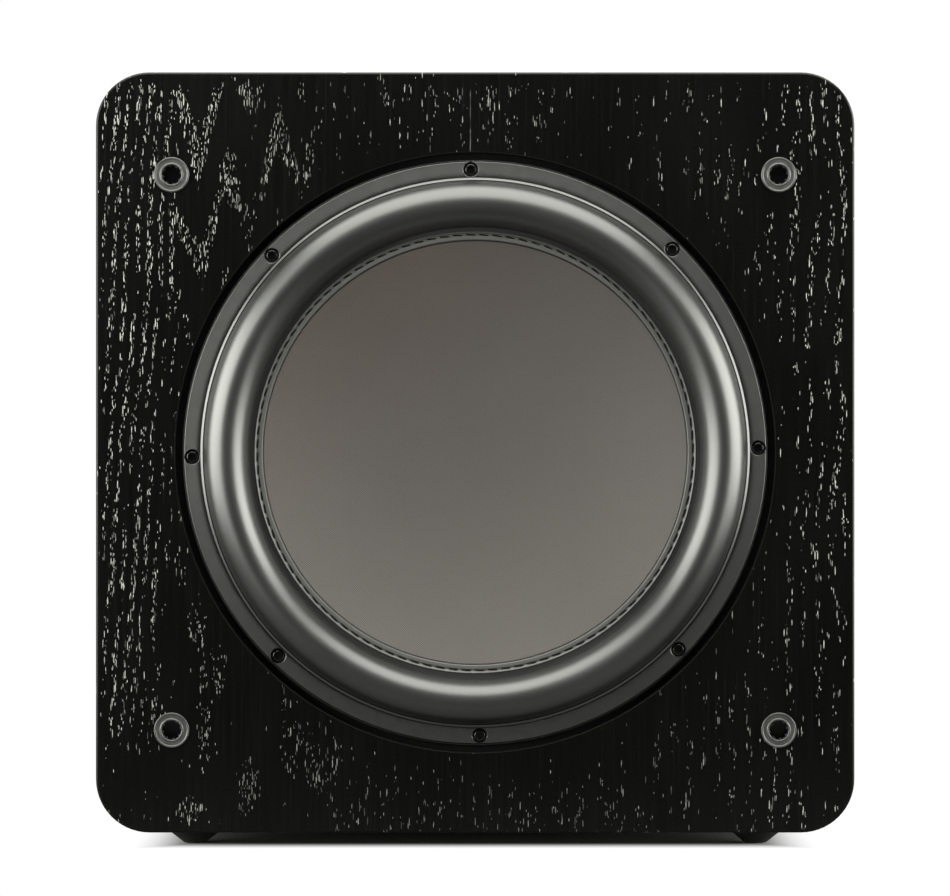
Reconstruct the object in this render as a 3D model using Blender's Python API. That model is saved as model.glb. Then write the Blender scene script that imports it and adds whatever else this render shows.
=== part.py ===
"""Active subwoofer: a sealed veneered cabinet, a long-throw driver and a plate amplifier.

The frame: +X to the listener's right as they face the front, +Y from front to back, +Z up.
The origin is on the floor, under the middle of the whole object. Lengths are in metres.
"""

import math

import bmesh
import bpy
from mathutils import Vector

MM = 0.001

# ---------------------------------------------------------------- driving dimensions

GAP = 0.3 * MM  # left between two pieces that touch
RUNNING_GAP = 0.5 * MM  # left round a piece that moves

# cabinet
CABINET_WIDTH = 425 * MM
CABINET_HEIGHT = 426 * MM  # without the feet
CABINET_DEPTH = 450 * MM  # front face to rear face
CORNER_RADIUS = 30 * MM
PANEL_THICKNESS = 25 * MM  # top, bottom and sides
BAFFLE_THICKNESS = 38 * MM
BAFFLE_EDGE_ROUND = 2.5 * MM
BACK_THICKNESS = 25 * MM
BRACE_THICKNESS = 19 * MM
BRACE_WINDOW_RADIUS = 33 * MM
PAD_THICKNESS = 22 * MM

# feet
FOOT_HEIGHT = 10 * MM
FOOT_RADIUS = 17 * MM
FOOT_TREAD_RADIUS = 6.2 * MM
FOOT_RIM = 1.5 * MM
FOOT_SCREW_RADIUS = 2.6 * MM
FOOT_INSET_X = 52 * MM  # from the side to the foot's middle
FOOT_INSET_FRONT = 58 * MM
FOOT_INSET_REAR = 58 * MM

# grille sockets
SOCKET_INSET_X = 42.5 * MM
SOCKET_INSET_Z = 57.5 * MM
SOCKET_FLANGE_RADIUS = 9.9 * MM
SOCKET_FLANGE = 1.1 * MM
SOCKET_BODY_RADIUS = 7.8 * MM
SOCKET_BORE_RADIUS = 5.4 * MM
SOCKET_DEPTH = 18 * MM
SOCKET_FLOOR = 2 * MM

# driver, seen from the front, from its edge inwards
DRIVER_MARGIN = 47.5 * MM  # baffle left at the driver's side, on its narrower way
CONE_DISH = 22 * MM  # depth of the dish
CONE_SKIN = 1.3 * MM
CONE_WALL = 2 * MM  # along the axis
BAND_WIDTH = 4.3 * MM
BAND_THICKNESS = 1.2 * MM
LAND_WIDTH = 2.4 * MM
ROLL_WIDTH = 26 * MM
ROLL_HEIGHT = 15 * MM
RUBBER = 1.6 * MM  # thickness of the surround
FOOT_LIP_WIDTH = 1.6 * MM
FOOT_LIP_PROUD = 0.7 * MM  # in front of the baffle
TRIM_WIDTH = 10.8 * MM
TRIM_THICKNESS = 2.2 * MM
TRIM_SINK = 0.6 * MM  # behind the baffle's face
TRIM_ROUND = 1.8 * MM
RECESS_CLEARANCE = 3 * MM  # dark ring round the driver
RECESS_ROUND = 1.5 * MM

# driver, behind the front
FLANGE_THICKNESS = 5.2 * MM
FLANGE_MARGIN = 1.4 * MM  # trim ring's overhang
BASKET_WALL = 3.2 * MM
BASKET_RIM_DEPTH = 40 * MM
SPIDER_DEPTH = 98 * MM
SPIDER_TO_CONE = 0.77  # spider's radius as a share of the cone's
SPIDER_LEDGE = 10 * MM
SPIDER_SKIN = 0.8 * MM
SPIDER_WAVES = 4
SPIDER_SLACK = 1 * MM  # round the spider's edge
SPIDER_WAVE_HEIGHT = 3 * MM
MOTOR_DEPTH = 125 * MM  # front of the top plate
SPOKES = 8
SPOKE_WIDTH = 15 * MM
COIL_TO_CONE = 0.32
FORMER_WALL = 0.8 * MM
FORMER_LENGTH = 66 * MM
WINDING_WALL = 2 * MM
WINDING_LENGTH = 36 * MM
CONE_NECK_DEPTH = 84 * MM
COIL_CLEARANCE = 1.4 * MM
TOP_PLATE_TO_CONE = 0.8
TOP_PLATE_THICKNESS = 10 * MM
MAGNET_TO_CONE = 0.84
MAGNET_WALK = 13 * MM  # coil's radius to the magnet's bore
MAGNET_THICKNESS = 40 * MM
YOKE_THICKNESS = 12 * MM
VENT_RADIUS = 14 * MM
SHORTING_WALL = 7 * MM
MAGNET_CLEARANCE = 8 * MM  # brace round the magnet
GASKET_THICKNESS = 1.5 * MM
CONE_TRAVEL = 18 * MM  # each way

# driver screws
SCREW_COUNT = 8
SCREW_CLOCKING = math.radians(0.9)  # the driver sits turned by this
SCREW_IN_TRIM = 0.417  # share of the trim's width from its inner edge to the screws
SCREW_HEAD_TO_TRIM = 0.37
SCREW_SHANK_TO_HEAD = 0.6
SCREW_HEAD_HEIGHT = 2.6 * MM
SCREW_SHORT_OF_BAFFLE = 10 * MM
SCREW_SINK = 1.5 * MM  # counterbore in the flange
SCREW_KEY_TO_HEAD = 0.48
SCREW_KEY_DEPTH = 1.5 * MM
SCREW_WELL_CLEARANCE = 0.7 * MM

# terminals and wires
TERMINAL_SIZE = (40 * MM, 17 * MM, 13 * MM)
TINSEL_RADIUS = 1.2 * MM
CABLE_RADIUS = 2.4 * MM
CABLE_HOLE_CLEARANCE = 1.2 * MM

# amplifier
PLATE_MARGIN_X = 75.5 * MM  # cabinet's side to the plate
PLATE_MARGIN_Z = 46 * MM
PLATE_THICKNESS = 3 * MM
PLATE_CORNER = 8 * MM
PLATE_LAP = 14 * MM  # plate over the back panel, all round
CHASSIS_CLEARANCE = 3 * MM
CHASSIS_DEPTH = 88 * MM
SHEET = 1.5 * MM
SINK_MARGIN = 22 * MM  # plate left at each side of the heatsink
SINK_SHARE = 0.31  # heatsink's height as a share of the plate's
SINK_BASE = 4 * MM
SINK_FIN_LENGTH = 18 * MM
SINK_FINS = 19
SINK_FIN_THICKNESS = 2.6 * MM
KNOB_RADIUS = 9 * MM
KNOB_SKIRT_RADIUS = 10.5 * MM
KNOB_HEIGHT = 14 * MM
KNOB_SHAFT_RADIUS = 3 * MM
LENS_RADIUS = 2.4 * MM
SLIDER_TRAVEL = 4 * MM
SLIDER_SIZE = 3 * MM
SLIDER_HEIGHT = 3.5 * MM
JACK_PITCH = (20 * MM, 18 * MM)
JACK_RADIUS = 4.2 * MM
JACK_LENGTH = 9 * MM
JACK_BORE = 1.7 * MM
INLET_WIDTH = 27 * MM
INLET_HEIGHT = 36 * MM
INLET_DEPTH = 29 * MM
INLET_FLANGE = 3 * MM
INLET_RIM = 3.5 * MM
INLET_CAVITY = (23 * MM, 16 * MM, 18 * MM)  # width, height, depth
INLET_CAVITY_Z = 7 * MM
PIN_SIZE = (2 * MM, 4 * MM, 12 * MM)  # thickness, height, length
PIN_PITCH = 14 * MM
DRAWER_SIZE = (15 * MM, 8 * MM, 25 * MM)  # width, height, depth
DRAWER_Z = -10.5 * MM
DRAWER_TAB = 1.8 * MM
DRAWER_TRAVEL = 14 * MM
ROCKER_WIDTH = 12 * MM
ROCKER_RADIUS = 9 * MM
ROCKER_TILT = math.radians(9)
BEZEL_WALL = 1.6 * MM
BEZEL_RIM = 1.6 * MM
BEZEL_DEPTH = 13 * MM
BEZEL_PROUD = 2 * MM
BOARD_SHARE = (0.69, 0.36)  # of the plate's width and height
BOARD_THICKNESS = 1.6 * MM
BOARD_DEPTH = 32 * MM
TRANSFORMER_TO_PLATE = 0.126
TRANSFORMER_BORE = 14 * MM
TRANSFORMER_HEIGHT = 36 * MM
CAPACITOR_RADIUS = 15 * MM
CAPACITOR_LENGTH = 40 * MM
CAPACITOR_PITCH = 40 * MM

# where the plate's fittings sit, as shares of its width and height from its middle
KNOB_PITCH_SHARE = 0.226
LENS_PLACE = (-0.38, 0.024)
SLIDER_PLACE = (-0.226, -0.156)
JACK_PLACE = (0.16, -0.156)
INLET_PLACE = (0.212, -0.36)
ROCKER_PLACE = (-0.212, -0.36)
SINK_PLACE = (0, 0.293)
TRANSFORMER_PLACE = (0, -0.275)
CAPACITOR_PLACE = (0, 0.036)

# how finely round things are faceted
BIG_RING = 32
SMALL_RING = 16
FINE_HOLE = 12
HIDDEN_HOLE = 8

# ---------------------------------------------------------------- worked out from the sizes above

TRIM_OUT = min(CABINET_WIDTH, CABINET_HEIGHT) / 2 - DRIVER_MARGIN
TRIM_IN = TRIM_OUT - TRIM_WIDTH
FOOT_LIP_OUT = TRIM_IN - GAP
ROLL_OUT = FOOT_LIP_OUT - FOOT_LIP_WIDTH
ROLL_IN = ROLL_OUT - ROLL_WIDTH
LAND_IN = ROLL_IN - LAND_WIDTH
BAND_OUT = LAND_IN - GAP
BAND_IN = BAND_OUT - BAND_WIDTH
CONE_RADIUS = BAND_IN - GAP
COIL_RADIUS = CONE_RADIUS * COIL_TO_CONE
SPIDER_RADIUS = CONE_RADIUS * SPIDER_TO_CONE
TOP_PLATE_RADIUS = CONE_RADIUS * TOP_PLATE_TO_CONE
MAGNET_RADIUS = CONE_RADIUS * MAGNET_TO_CONE
MAGNET_BORE = COIL_RADIUS + MAGNET_WALK
RECESS_RADIUS = TRIM_OUT + RECESS_CLEARANCE
FLANGE_RADIUS = TRIM_OUT - FLANGE_MARGIN
SCREW_CIRCLE = TRIM_IN + TRIM_WIDTH * SCREW_IN_TRIM
SCREW_HEAD_RADIUS = TRIM_WIDTH * SCREW_HEAD_TO_TRIM
SCREW_SHANK_RADIUS = SCREW_HEAD_RADIUS * SCREW_SHANK_TO_HEAD
SCREW_KEY_RADIUS = SCREW_HEAD_RADIUS * SCREW_KEY_TO_HEAD
SCREW_LENGTH = BAFFLE_THICKNESS - SCREW_SHORT_OF_BAFFLE
CUTOUT_RADIUS = SCREW_CIRCLE - SCREW_SHANK_RADIUS - 3 * MM
BASKET_OUT = CUTOUT_RADIUS - 1 * MM
BASKET_IN = BASKET_OUT - BASKET_WALL

FLANGE_TOP = TRIM_SINK + TRIM_THICKNESS + GAP
FLANGE_BOTTOM = FLANGE_TOP + FLANGE_THICKNESS
RECESS_DEPTH = FLANGE_BOTTOM + GAP + GASKET_THICKNESS + GAP
SURROUND_PROUD = FOOT_LIP_PROUD + ROLL_HEIGHT - 1 * MM
ROLL_PLANE = SURROUND_PROUD - ROLL_HEIGHT  # negative: behind the baffle's face

PLATE_BACK = GAP + GASKET_THICKNESS + GAP  # amplifier plate's inner face, behind the back panel
PLATE_FACE = PLATE_BACK + PLATE_THICKNESS
PLATE_WIDTH = CABINET_WIDTH - 2 * PLATE_MARGIN_X
PLATE_HEIGHT = CABINET_HEIGHT - 2 * PLATE_MARGIN_Z
SINK_PROUD = PLATE_FACE + GAP + SINK_BASE + SINK_FIN_LENGTH
CUTOUT_WIDTH = PLATE_WIDTH - 2 * PLATE_LAP
CUTOUT_HEIGHT = PLATE_HEIGHT - 2 * PLATE_LAP
KNOB_PITCH = PLATE_WIDTH * KNOB_PITCH_SHARE
KNOB_Z = PLATE_HEIGHT * LENS_PLACE[1]
LENS_X = PLATE_WIDTH * LENS_PLACE[0]
SLIDER_X, SLIDER_Z = PLATE_WIDTH * SLIDER_PLACE[0], PLATE_HEIGHT * SLIDER_PLACE[1]
JACK_X, JACK_Z = PLATE_WIDTH * JACK_PLACE[0], PLATE_HEIGHT * JACK_PLACE[1]
INLET_X, INLET_Z = PLATE_WIDTH * INLET_PLACE[0], PLATE_HEIGHT * INLET_PLACE[1]
ROCKER_X, ROCKER_Z = PLATE_WIDTH * ROCKER_PLACE[0], PLATE_HEIGHT * ROCKER_PLACE[1]
SINK_WIDTH = PLATE_WIDTH - 2 * SINK_MARGIN
SINK_HEIGHT = PLATE_HEIGHT * SINK_SHARE
SINK_Z = PLATE_HEIGHT * SINK_PLACE[1]
BOARD_SIZE = (PLATE_WIDTH * BOARD_SHARE[0], BOARD_THICKNESS, PLATE_HEIGHT * BOARD_SHARE[1])
TRANSFORMER_RADIUS = PLATE_HEIGHT * TRANSFORMER_TO_PLATE
TRANSFORMER_Z = PLATE_HEIGHT * TRANSFORMER_PLACE[1]
CAPACITOR_Z = PLATE_HEIGHT * CAPACITOR_PLACE[1]

FRONT_Y = -(SURROUND_PROUD + CABINET_DEPTH + SINK_PROUD) / 2 + SURROUND_PROUD
BACK_Y = FRONT_Y + CABINET_DEPTH
MIDDLE_Z = FOOT_HEIGHT + GAP + CABINET_HEIGHT / 2


# ---------------------------------------------------------------- tools


def clear_scene():
    for obj in list(bpy.data.objects):
        bpy.data.objects.remove(obj)


def material(name, colour, roughness, metallic=0.0):
    made = bpy.data.materials.get(name)
    if made:
        return made
    made = bpy.data.materials.new(name)
    made.use_nodes = True
    shader = made.node_tree.nodes["Principled BSDF"]
    shader.inputs["Base Color"].default_value = (*colour, 1)
    shader.inputs["Roughness"].default_value = roughness
    shader.inputs["Metallic"].default_value = metallic
    return made


def veneer():
    return material("black_oak_veneer", (0.008, 0.008, 0.007), 0.45)


def rubber():
    return material("black_rubber", (0.02, 0.02, 0.019), 0.5)


def dark_plastic():
    return material("dark_plastic", (0.015, 0.015, 0.016), 0.4)


def steel():
    return material("plated_steel", (0.5, 0.5, 0.5), 0.35, 1.0)


def black_metal():
    return material("black_metal", (0.02, 0.02, 0.02), 0.4, 0.6)


def aluminium():
    return material("cast_aluminium", (0.35, 0.35, 0.36), 0.45, 1.0)


def copper():
    return material("copper", (0.7, 0.35, 0.2), 0.35, 1.0)


def empty(name, location):
    made = bpy.data.objects.new(name, None)
    made.location = location
    bpy.context.scene.collection.objects.link(made)
    return made


def add(name, bm, mat=None, location=(0, 0, 0), parent=None, smooth=False):
    """Turns a bmesh into a named object."""
    bmesh.ops.recalc_face_normals(bm, faces=bm.faces)
    mesh = bpy.data.meshes.new(name)
    bm.to_mesh(mesh)
    bm.free()
    if smooth:
        mesh.shade_smooth()
        mesh.set_sharp_from_angle(angle=math.radians(35))
    made = bpy.data.objects.new(name, mesh)
    if mat:
        mesh.materials.append(mat)
    made.location = location
    made.parent = parent
    bpy.context.scene.collection.objects.link(made)
    return made


def helper(obj):
    """Makes an object a cutter: it shapes others and is not a piece itself."""
    obj.hide_render = True
    obj.display_type = "WIRE"
    return obj


def combine(obj, other, operation="DIFFERENCE"):
    boolean = obj.modifiers.new(other.name, "BOOLEAN")
    boolean.operation = operation
    boolean.solver = "EXACT"
    boolean.object = helper(other)
    return obj


def turned(profile, segments):
    """Spins (radius, y) points about the Y axis. A profile that ends on the axis stays open there."""
    bm = bmesh.new()
    verts = [bm.verts.new((r, y, 0)) for r, y in profile]
    edges = [bm.edges.new(pair) for pair in zip(verts, verts[1:])]
    if profile[0][0] > 0 or profile[-1][0] > 0:
        edges.append(bm.edges.new((verts[-1], verts[0])))
    bmesh.ops.spin(
        bm, geom=verts + edges, axis=(0, 1, 0), cent=(0, 0, 0),
        steps=segments, angle=math.tau, use_merge=True,
    )
    bmesh.ops.remove_doubles(bm, verts=bm.verts, dist=0.001 * MM)
    return bm


def extruded(outline, y_from, y_to):
    """A prism: an (x, z) outline carried along Y."""
    bm = bmesh.new()
    face = bm.faces.new([bm.verts.new((x, y_from, z)) for x, z in outline])
    made = bmesh.ops.extrude_face_region(bm, geom=[face])
    moved = [v for v in made["geom"] if isinstance(v, bmesh.types.BMVert)]
    bmesh.ops.translate(bm, verts=moved, vec=(0, y_to - y_from, 0))
    return bm


def box(size, centre=(0, 0, 0)):
    bm = bmesh.new()
    bmesh.ops.create_cube(bm, size=1)
    bmesh.ops.scale(bm, verts=bm.verts, vec=size)
    bmesh.ops.translate(bm, verts=bm.verts, vec=centre)
    return bm


def box_between(low, high):
    size = [b - a for a, b in zip(low, high)]
    return box(size, [(a + b) / 2 for a, b in zip(low, high)])


def merged(parts):
    """Several closed shapes in one bmesh, for a cutter with many teeth."""
    whole = bmesh.new()
    for part in parts:
        mesh = bpy.data.meshes.new("part")
        bmesh.ops.recalc_face_normals(part, faces=part.faces)
        part.to_mesh(mesh)
        part.free()
        whole.from_mesh(mesh)
        bpy.data.meshes.remove(mesh)
    return whole


def arc(centre, radii, start, end, steps):
    """Points on an ellipse's arc, both ends included. Angles are in degrees."""
    points = []
    for i in range(steps + 1):
        a = math.radians(start + (end - start) * i / steps)
        points.append((centre[0] + radii[0] * math.cos(a), centre[1] + radii[1] * math.sin(a)))
    return points


def circle(centre, radius, segments):
    return arc(centre, (radius, radius), 0, 360, segments)[:-1]


def rounded_rectangle(width, height, radius, steps=6, centre=(0, 0)):
    x, z = width / 2 - radius, height / 2 - radius
    corners = (((x, z), 0), ((-x, z), 90), ((-x, -z), 180), ((x, -z), 270))
    points = []
    for (cx, cz), start in corners:
        middle = (cx + centre[0], cz + centre[1])
        points += arc(middle, (radius, radius), start, start + 90, steps)
    return points


def rectangle(width, height, centre=(0, 0)):
    x, z = width / 2, height / 2
    return [(centre[0] + sx * x, centre[1] + sz * z) for sx, sz in ((1, 1), (-1, 1), (-1, -1), (1, -1))]


def moved(bm, vec):
    bmesh.ops.translate(bm, verts=bm.verts, vec=vec)
    return bm


def smooth_route(route, spacing):
    """Points every `spacing` along a smooth curve through the route's own points."""
    points = [Vector(p) for p in route]
    ends = [2 * points[0] - points[1], *points, 2 * points[-1] - points[-2]]
    dense = []
    for a, b, c, d in zip(ends, ends[1:], ends[2:], ends[3:]):
        steps = max(2, round((c - b).length / spacing))
        for i in range(steps):
            t = i / steps
            dense.append(
                0.5 * (2 * b + (c - a) * t + (2 * a - 5 * b + 4 * c - d) * t**2
                       + (3 * b - a - 3 * c + d) * t**3)
            )
    return [*dense, points[-1]]


def wire(name, route, radius, mat, parent=None):
    curve = bpy.data.curves.new(name, "CURVE")
    curve.dimensions = "3D"
    curve.bevel_depth = radius
    curve.bevel_resolution = 2
    curve.use_fill_caps = True
    points = smooth_route(route, 5 * radius)
    spline = curve.splines.new("POLY")
    spline.points.add(len(points) - 1)
    for spline_point, point in zip(spline.points, points):
        spline_point.co = (*point, 1)
    made = bpy.data.objects.new(name, curve)
    curve.materials.append(mat)
    made.parent = parent
    bpy.context.scene.collection.objects.link(made)
    return made


# ---------------------------------------------------------------- cabinet


def socket_places():
    """Grille socket names with their x and z from the cabinet's middle."""
    x = CABINET_WIDTH / 2 - SOCKET_INSET_X
    z = CABINET_HEIGHT / 2 - SOCKET_INSET_Z
    return {
        f"grille_socket_{level}_{side}": (sx * x, sz * z)
        for level, sz in (("top", 1), ("bottom", -1))
        for side, sx in (("left", -1), ("right", 1))
    }


def screw_places():
    """x and z of each driver screw from the driver's middle."""
    angles = [SCREW_CLOCKING + math.tau * i / SCREW_COUNT for i in range(SCREW_COUNT)]
    return [(SCREW_CIRCLE * math.cos(a), SCREW_CIRCLE * math.sin(a)) for a in angles]


def front_baffle(cabinet):
    outline = rounded_rectangle(CABINET_WIDTH, CABINET_HEIGHT, CORNER_RADIUS)
    bm = extruded(outline, 0, BAFFLE_THICKNESS)
    front_edges = [e for e in bm.edges if all(abs(v.co.y) < GAP for v in e.verts)]
    bmesh.ops.bevel(
        bm, geom=front_edges, offset=BAFFLE_EDGE_ROUND, segments=2, profile=0.5, affect="EDGES"
    )
    baffle = add("front_baffle", bm, veneer(), parent=cabinet)

    beyond = 10 * MM
    mouth = turned(
        [(0, -beyond), (RECESS_RADIUS + RECESS_ROUND, -beyond),
         *arc((RECESS_RADIUS + RECESS_ROUND, RECESS_ROUND), (RECESS_ROUND, RECESS_ROUND), 270, 180, 2),
         (RECESS_RADIUS, RECESS_DEPTH), (CUTOUT_RADIUS, RECESS_DEPTH),
         (CUTOUT_RADIUS, BAFFLE_THICKNESS + beyond), (0, BAFFLE_THICKNESS + beyond)],
        BIG_RING,
    )
    combine(baffle, add("baffle_mouth_cutter", mouth, parent=cabinet))
    pilot_depth = RECESS_DEPTH + SCREW_LENGTH - FLANGE_THICKNESS
    pilots = [
        moved(extruded(circle((0, 0), SCREW_SHANK_RADIUS + 2 * GAP, HIDDEN_HOLE),
                       RECESS_DEPTH - GASKET_THICKNESS, pilot_depth), (x, 0, z))
        for x, z in screw_places()
    ]
    combine(baffle, add("baffle_pilot_cutter", merged(pilots), parent=cabinet))
    bores = [
        moved(extruded(circle((0, 0), SOCKET_BODY_RADIUS + GAP, SMALL_RING),
                       -beyond, SOCKET_DEPTH + GAP), (x, 0, z))
        for x, z in socket_places().values()
    ]
    combine(baffle, add("baffle_socket_cutter", merged(bores), parent=cabinet))
    return baffle


def wrap_section(length, across):
    """Half the wrap's corner-to-corner section for one panel: an outer face along X with mitred ends.

    `length` is the panel's outer length and `across` the distance from the middle to its outer face.
    """
    back_off = GAP / math.sqrt(2)
    half = length / 2
    middle = (half - CORNER_RADIUS, across - CORNER_RADIUS)
    right = arc(middle, (CORNER_RADIUS, CORNER_RADIUS), 90, 45, 3)
    tip_x, tip_z = right[-1]
    right[-1] = (tip_x - back_off, tip_z)
    right.append((half - PANEL_THICKNESS - back_off, across - PANEL_THICKNESS))
    left = [(-x, z) for x, z in reversed(right)]
    return left + right


def wrap_panels(cabinet):
    start = BAFFLE_THICKNESS + GAP
    wide = wrap_section(CABINET_WIDTH, CABINET_HEIGHT / 2)
    tall = wrap_section(CABINET_HEIGHT, CABINET_WIDTH / 2)
    sections = {
        "top_panel": wide,
        "bottom_panel": [(-x, -z) for x, z in wide],
        "right_panel": [(z, -x) for x, z in tall],
        "left_panel": [(-z, x) for x, z in tall],
    }
    for name, section in sections.items():
        add(name, extruded(section, start, CABINET_DEPTH), veneer(), parent=cabinet)


def inner_size():
    return CABINET_WIDTH - 2 * PANEL_THICKNESS, CABINET_HEIGHT - 2 * PANEL_THICKNESS


def back_panel(cabinet):
    width, height = inner_size()
    outline = rectangle(width - 2 * GAP, height - 2 * GAP)
    bm = extruded(outline, CABINET_DEPTH - BACK_THICKNESS, CABINET_DEPTH)
    panel = add("back_panel", bm, veneer(), parent=cabinet)
    hole = box((CUTOUT_WIDTH, 3 * BACK_THICKNESS, CUTOUT_HEIGHT), (0, CABINET_DEPTH, 0))
    return combine(panel, add("back_cutter", hole, parent=cabinet))


def brace(cabinet):
    """A ring brace round the magnet, with a window in each corner."""
    width, height = inner_size()
    y = MOTOR_DEPTH + TOP_PLATE_THICKNESS + MAGNET_THICKNESS / 2
    outline = rectangle(width - 2 * GAP, height - 2 * GAP)
    panel = add("window_brace", extruded(outline, y - BRACE_THICKNESS / 2, y + BRACE_THICKNESS / 2),
                material("plain_board", (0.25, 0.17, 0.1), 0.8), parent=cabinet)
    reach = BRACE_THICKNESS
    ring = extruded(circle((0, 0), MAGNET_RADIUS + MAGNET_CLEARANCE, BIG_RING), y - reach, y + reach)
    edge = BRACE_WINDOW_RADIUS + 15 * MM
    windows = [
        moved(extruded(circle((0, 0), BRACE_WINDOW_RADIUS, SMALL_RING), y - reach, y + reach),
              (sx * (width / 2 - edge), 0, sz * (height / 2 - edge)))
        for sx in (-1, 1) for sz in (-1, 1)
    ]
    return combine(panel, add("brace_cutter", merged([ring, *windows]), parent=cabinet))


def damping_pad(cabinet):
    """Foam lining on the floor of the box, behind the driver."""
    width, height = inner_size()
    start = MOTOR_DEPTH + TOP_PLATE_THICKNESS + MAGNET_THICKNESS + YOKE_THICKNESS
    end = CABINET_DEPTH - BACK_THICKNESS - 2 * PLATE_LAP
    margin = 20 * MM
    low = (-width / 2 + margin, start, -height / 2 + GAP)
    high = (width / 2 - margin, end, -height / 2 + GAP + PAD_THICKNESS)
    bm = box_between(low, high)
    top_edges = [e for e in bm.edges if all(v.co.z > high[2] - GAP for v in e.verts)]
    bmesh.ops.bevel(bm, geom=top_edges, offset=PAD_THICKNESS / 3, segments=2, profile=0.5, affect="EDGES")
    return add("damping_pad", bm, material("foam", (0.06, 0.06, 0.065), 0.95), parent=cabinet)


def foot_places():
    x = CABINET_WIDTH / 2 - FOOT_INSET_X
    return {
        f"foot_{end}_{side}": (sx * x, y)
        for end, y in (("front", FOOT_INSET_FRONT), ("rear", CABINET_DEPTH - FOOT_INSET_REAR))
        for side, sx in (("left", -1), ("right", 1))
    }


def feet():
    """Rubber cones, wide where they meet the cabinet and narrow on the floor."""
    well = 1.2 * MM
    profile = [
        (0, FOOT_HEIGHT), (FOOT_RADIUS, FOOT_HEIGHT), (FOOT_RADIUS, FOOT_HEIGHT - FOOT_RIM),
        (FOOT_TREAD_RADIUS, 0), (FOOT_SCREW_RADIUS, 0), (FOOT_SCREW_RADIUS, well), (0, well),
    ]
    for name, (x, y) in foot_places().items():
        bm = turned(profile, SMALL_RING)
        for vert in bm.verts:
            vert.co = (vert.co.x, -vert.co.z, vert.co.y)
        add(name, bm, rubber(), location=(x, FRONT_Y + y, 0), smooth=True)


def grille_sockets(cabinet):
    """Flanged bushes that take the grille's pegs."""
    lead_in = 0.8 * MM
    profile = [
        (0, SOCKET_DEPTH), (SOCKET_BODY_RADIUS, SOCKET_DEPTH), (SOCKET_BODY_RADIUS, -GAP),
        (SOCKET_FLANGE_RADIUS, -GAP), (SOCKET_FLANGE_RADIUS, -GAP - SOCKET_FLANGE + lead_in / 2),
        (SOCKET_FLANGE_RADIUS - lead_in / 2, -GAP - SOCKET_FLANGE),
        (SOCKET_BORE_RADIUS + lead_in, -GAP - SOCKET_FLANGE),
        (SOCKET_BORE_RADIUS, -GAP - SOCKET_FLANGE + lead_in),
        (SOCKET_BORE_RADIUS, SOCKET_DEPTH - SOCKET_FLOOR), (0, SOCKET_DEPTH - SOCKET_FLOOR),
    ]
    for name, (x, z) in socket_places().items():
        add(name, turned(profile, SMALL_RING), dark_plastic(), (x, 0, z), cabinet, smooth=True)


# ---------------------------------------------------------------- driver


def ring_profile(inner, outer, front, back):
    return [(inner, front), (outer, front), (outer, back), (inner, back)]


def ring(name, inner, outer, front, back, mat, parent, segments=SMALL_RING):
    bm = turned(ring_profile(inner, outer, front, back), segments)
    return add(name, bm, mat, parent=parent, smooth=True)


def screw_wells(name, radius, front, back, parent, segments=FINE_HOLE):
    wells = [
        moved(extruded(circle((0, 0), radius, segments), front, back), (x, 0, z))
        for x, z in screw_places()
    ]
    return add(name, merged(wells), parent=parent)


def driver_gasket(driver):
    front = FLANGE_BOTTOM + GAP
    gasket = ring("driver_gasket", CUTOUT_RADIUS, FLANGE_RADIUS, front, front + GASKET_THICKNESS,
                  material("foam", (0.06, 0.06, 0.065), 0.95), driver, BIG_RING)
    return combine(gasket, screw_wells("gasket_cutter", SCREW_SHANK_RADIUS + 2 * GAP,
                                       FLANGE_TOP, RECESS_DEPTH + GAP, driver, HIDDEN_HOLE))


def basket_windows(driver):
    """Two rings of openings between the spokes: tall ones in the bowl, low ones under the spider."""
    top, bottom = BASKET_RIM_DEPTH + 4 * MM, SPIDER_DEPTH - 6 * MM
    vent_top, vent_bottom = SPIDER_DEPTH + 6 * MM, MOTOR_DEPTH - 8 * MM
    half_turn = math.pi / SPOKES

    def half_width(radius):
        return radius * math.sin(half_turn) - SPOKE_WIDTH / 2

    tall = [(-half_width(BASKET_IN), top), (half_width(BASKET_IN), top),
            (half_width(SPIDER_RADIUS), bottom), (-half_width(SPIDER_RADIUS), bottom)]
    vent = half_width(SPIDER_RADIUS) * 0.8
    low = [(-vent, vent_top), (vent, vent_top), (vent, vent_bottom), (-vent, vent_bottom)]
    reach = (SPIDER_RADIUS - SPIDER_LEDGE - 8 * MM, FLANGE_RADIUS)
    teeth = []
    for i in range(SPOKES):
        turn = half_turn * (2 * i + 1)
        for outline in (tall, low):
            tooth = extruded(outline, *reach)
            for vert in tooth.verts:
                across, out, depth = vert.co
                vert.co = (out * math.cos(turn) - across * math.sin(turn), depth,
                           out * math.sin(turn) + across * math.cos(turn))
            teeth.append(tooth)
    return add("basket_window_cutter", merged(teeth), parent=driver)


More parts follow.
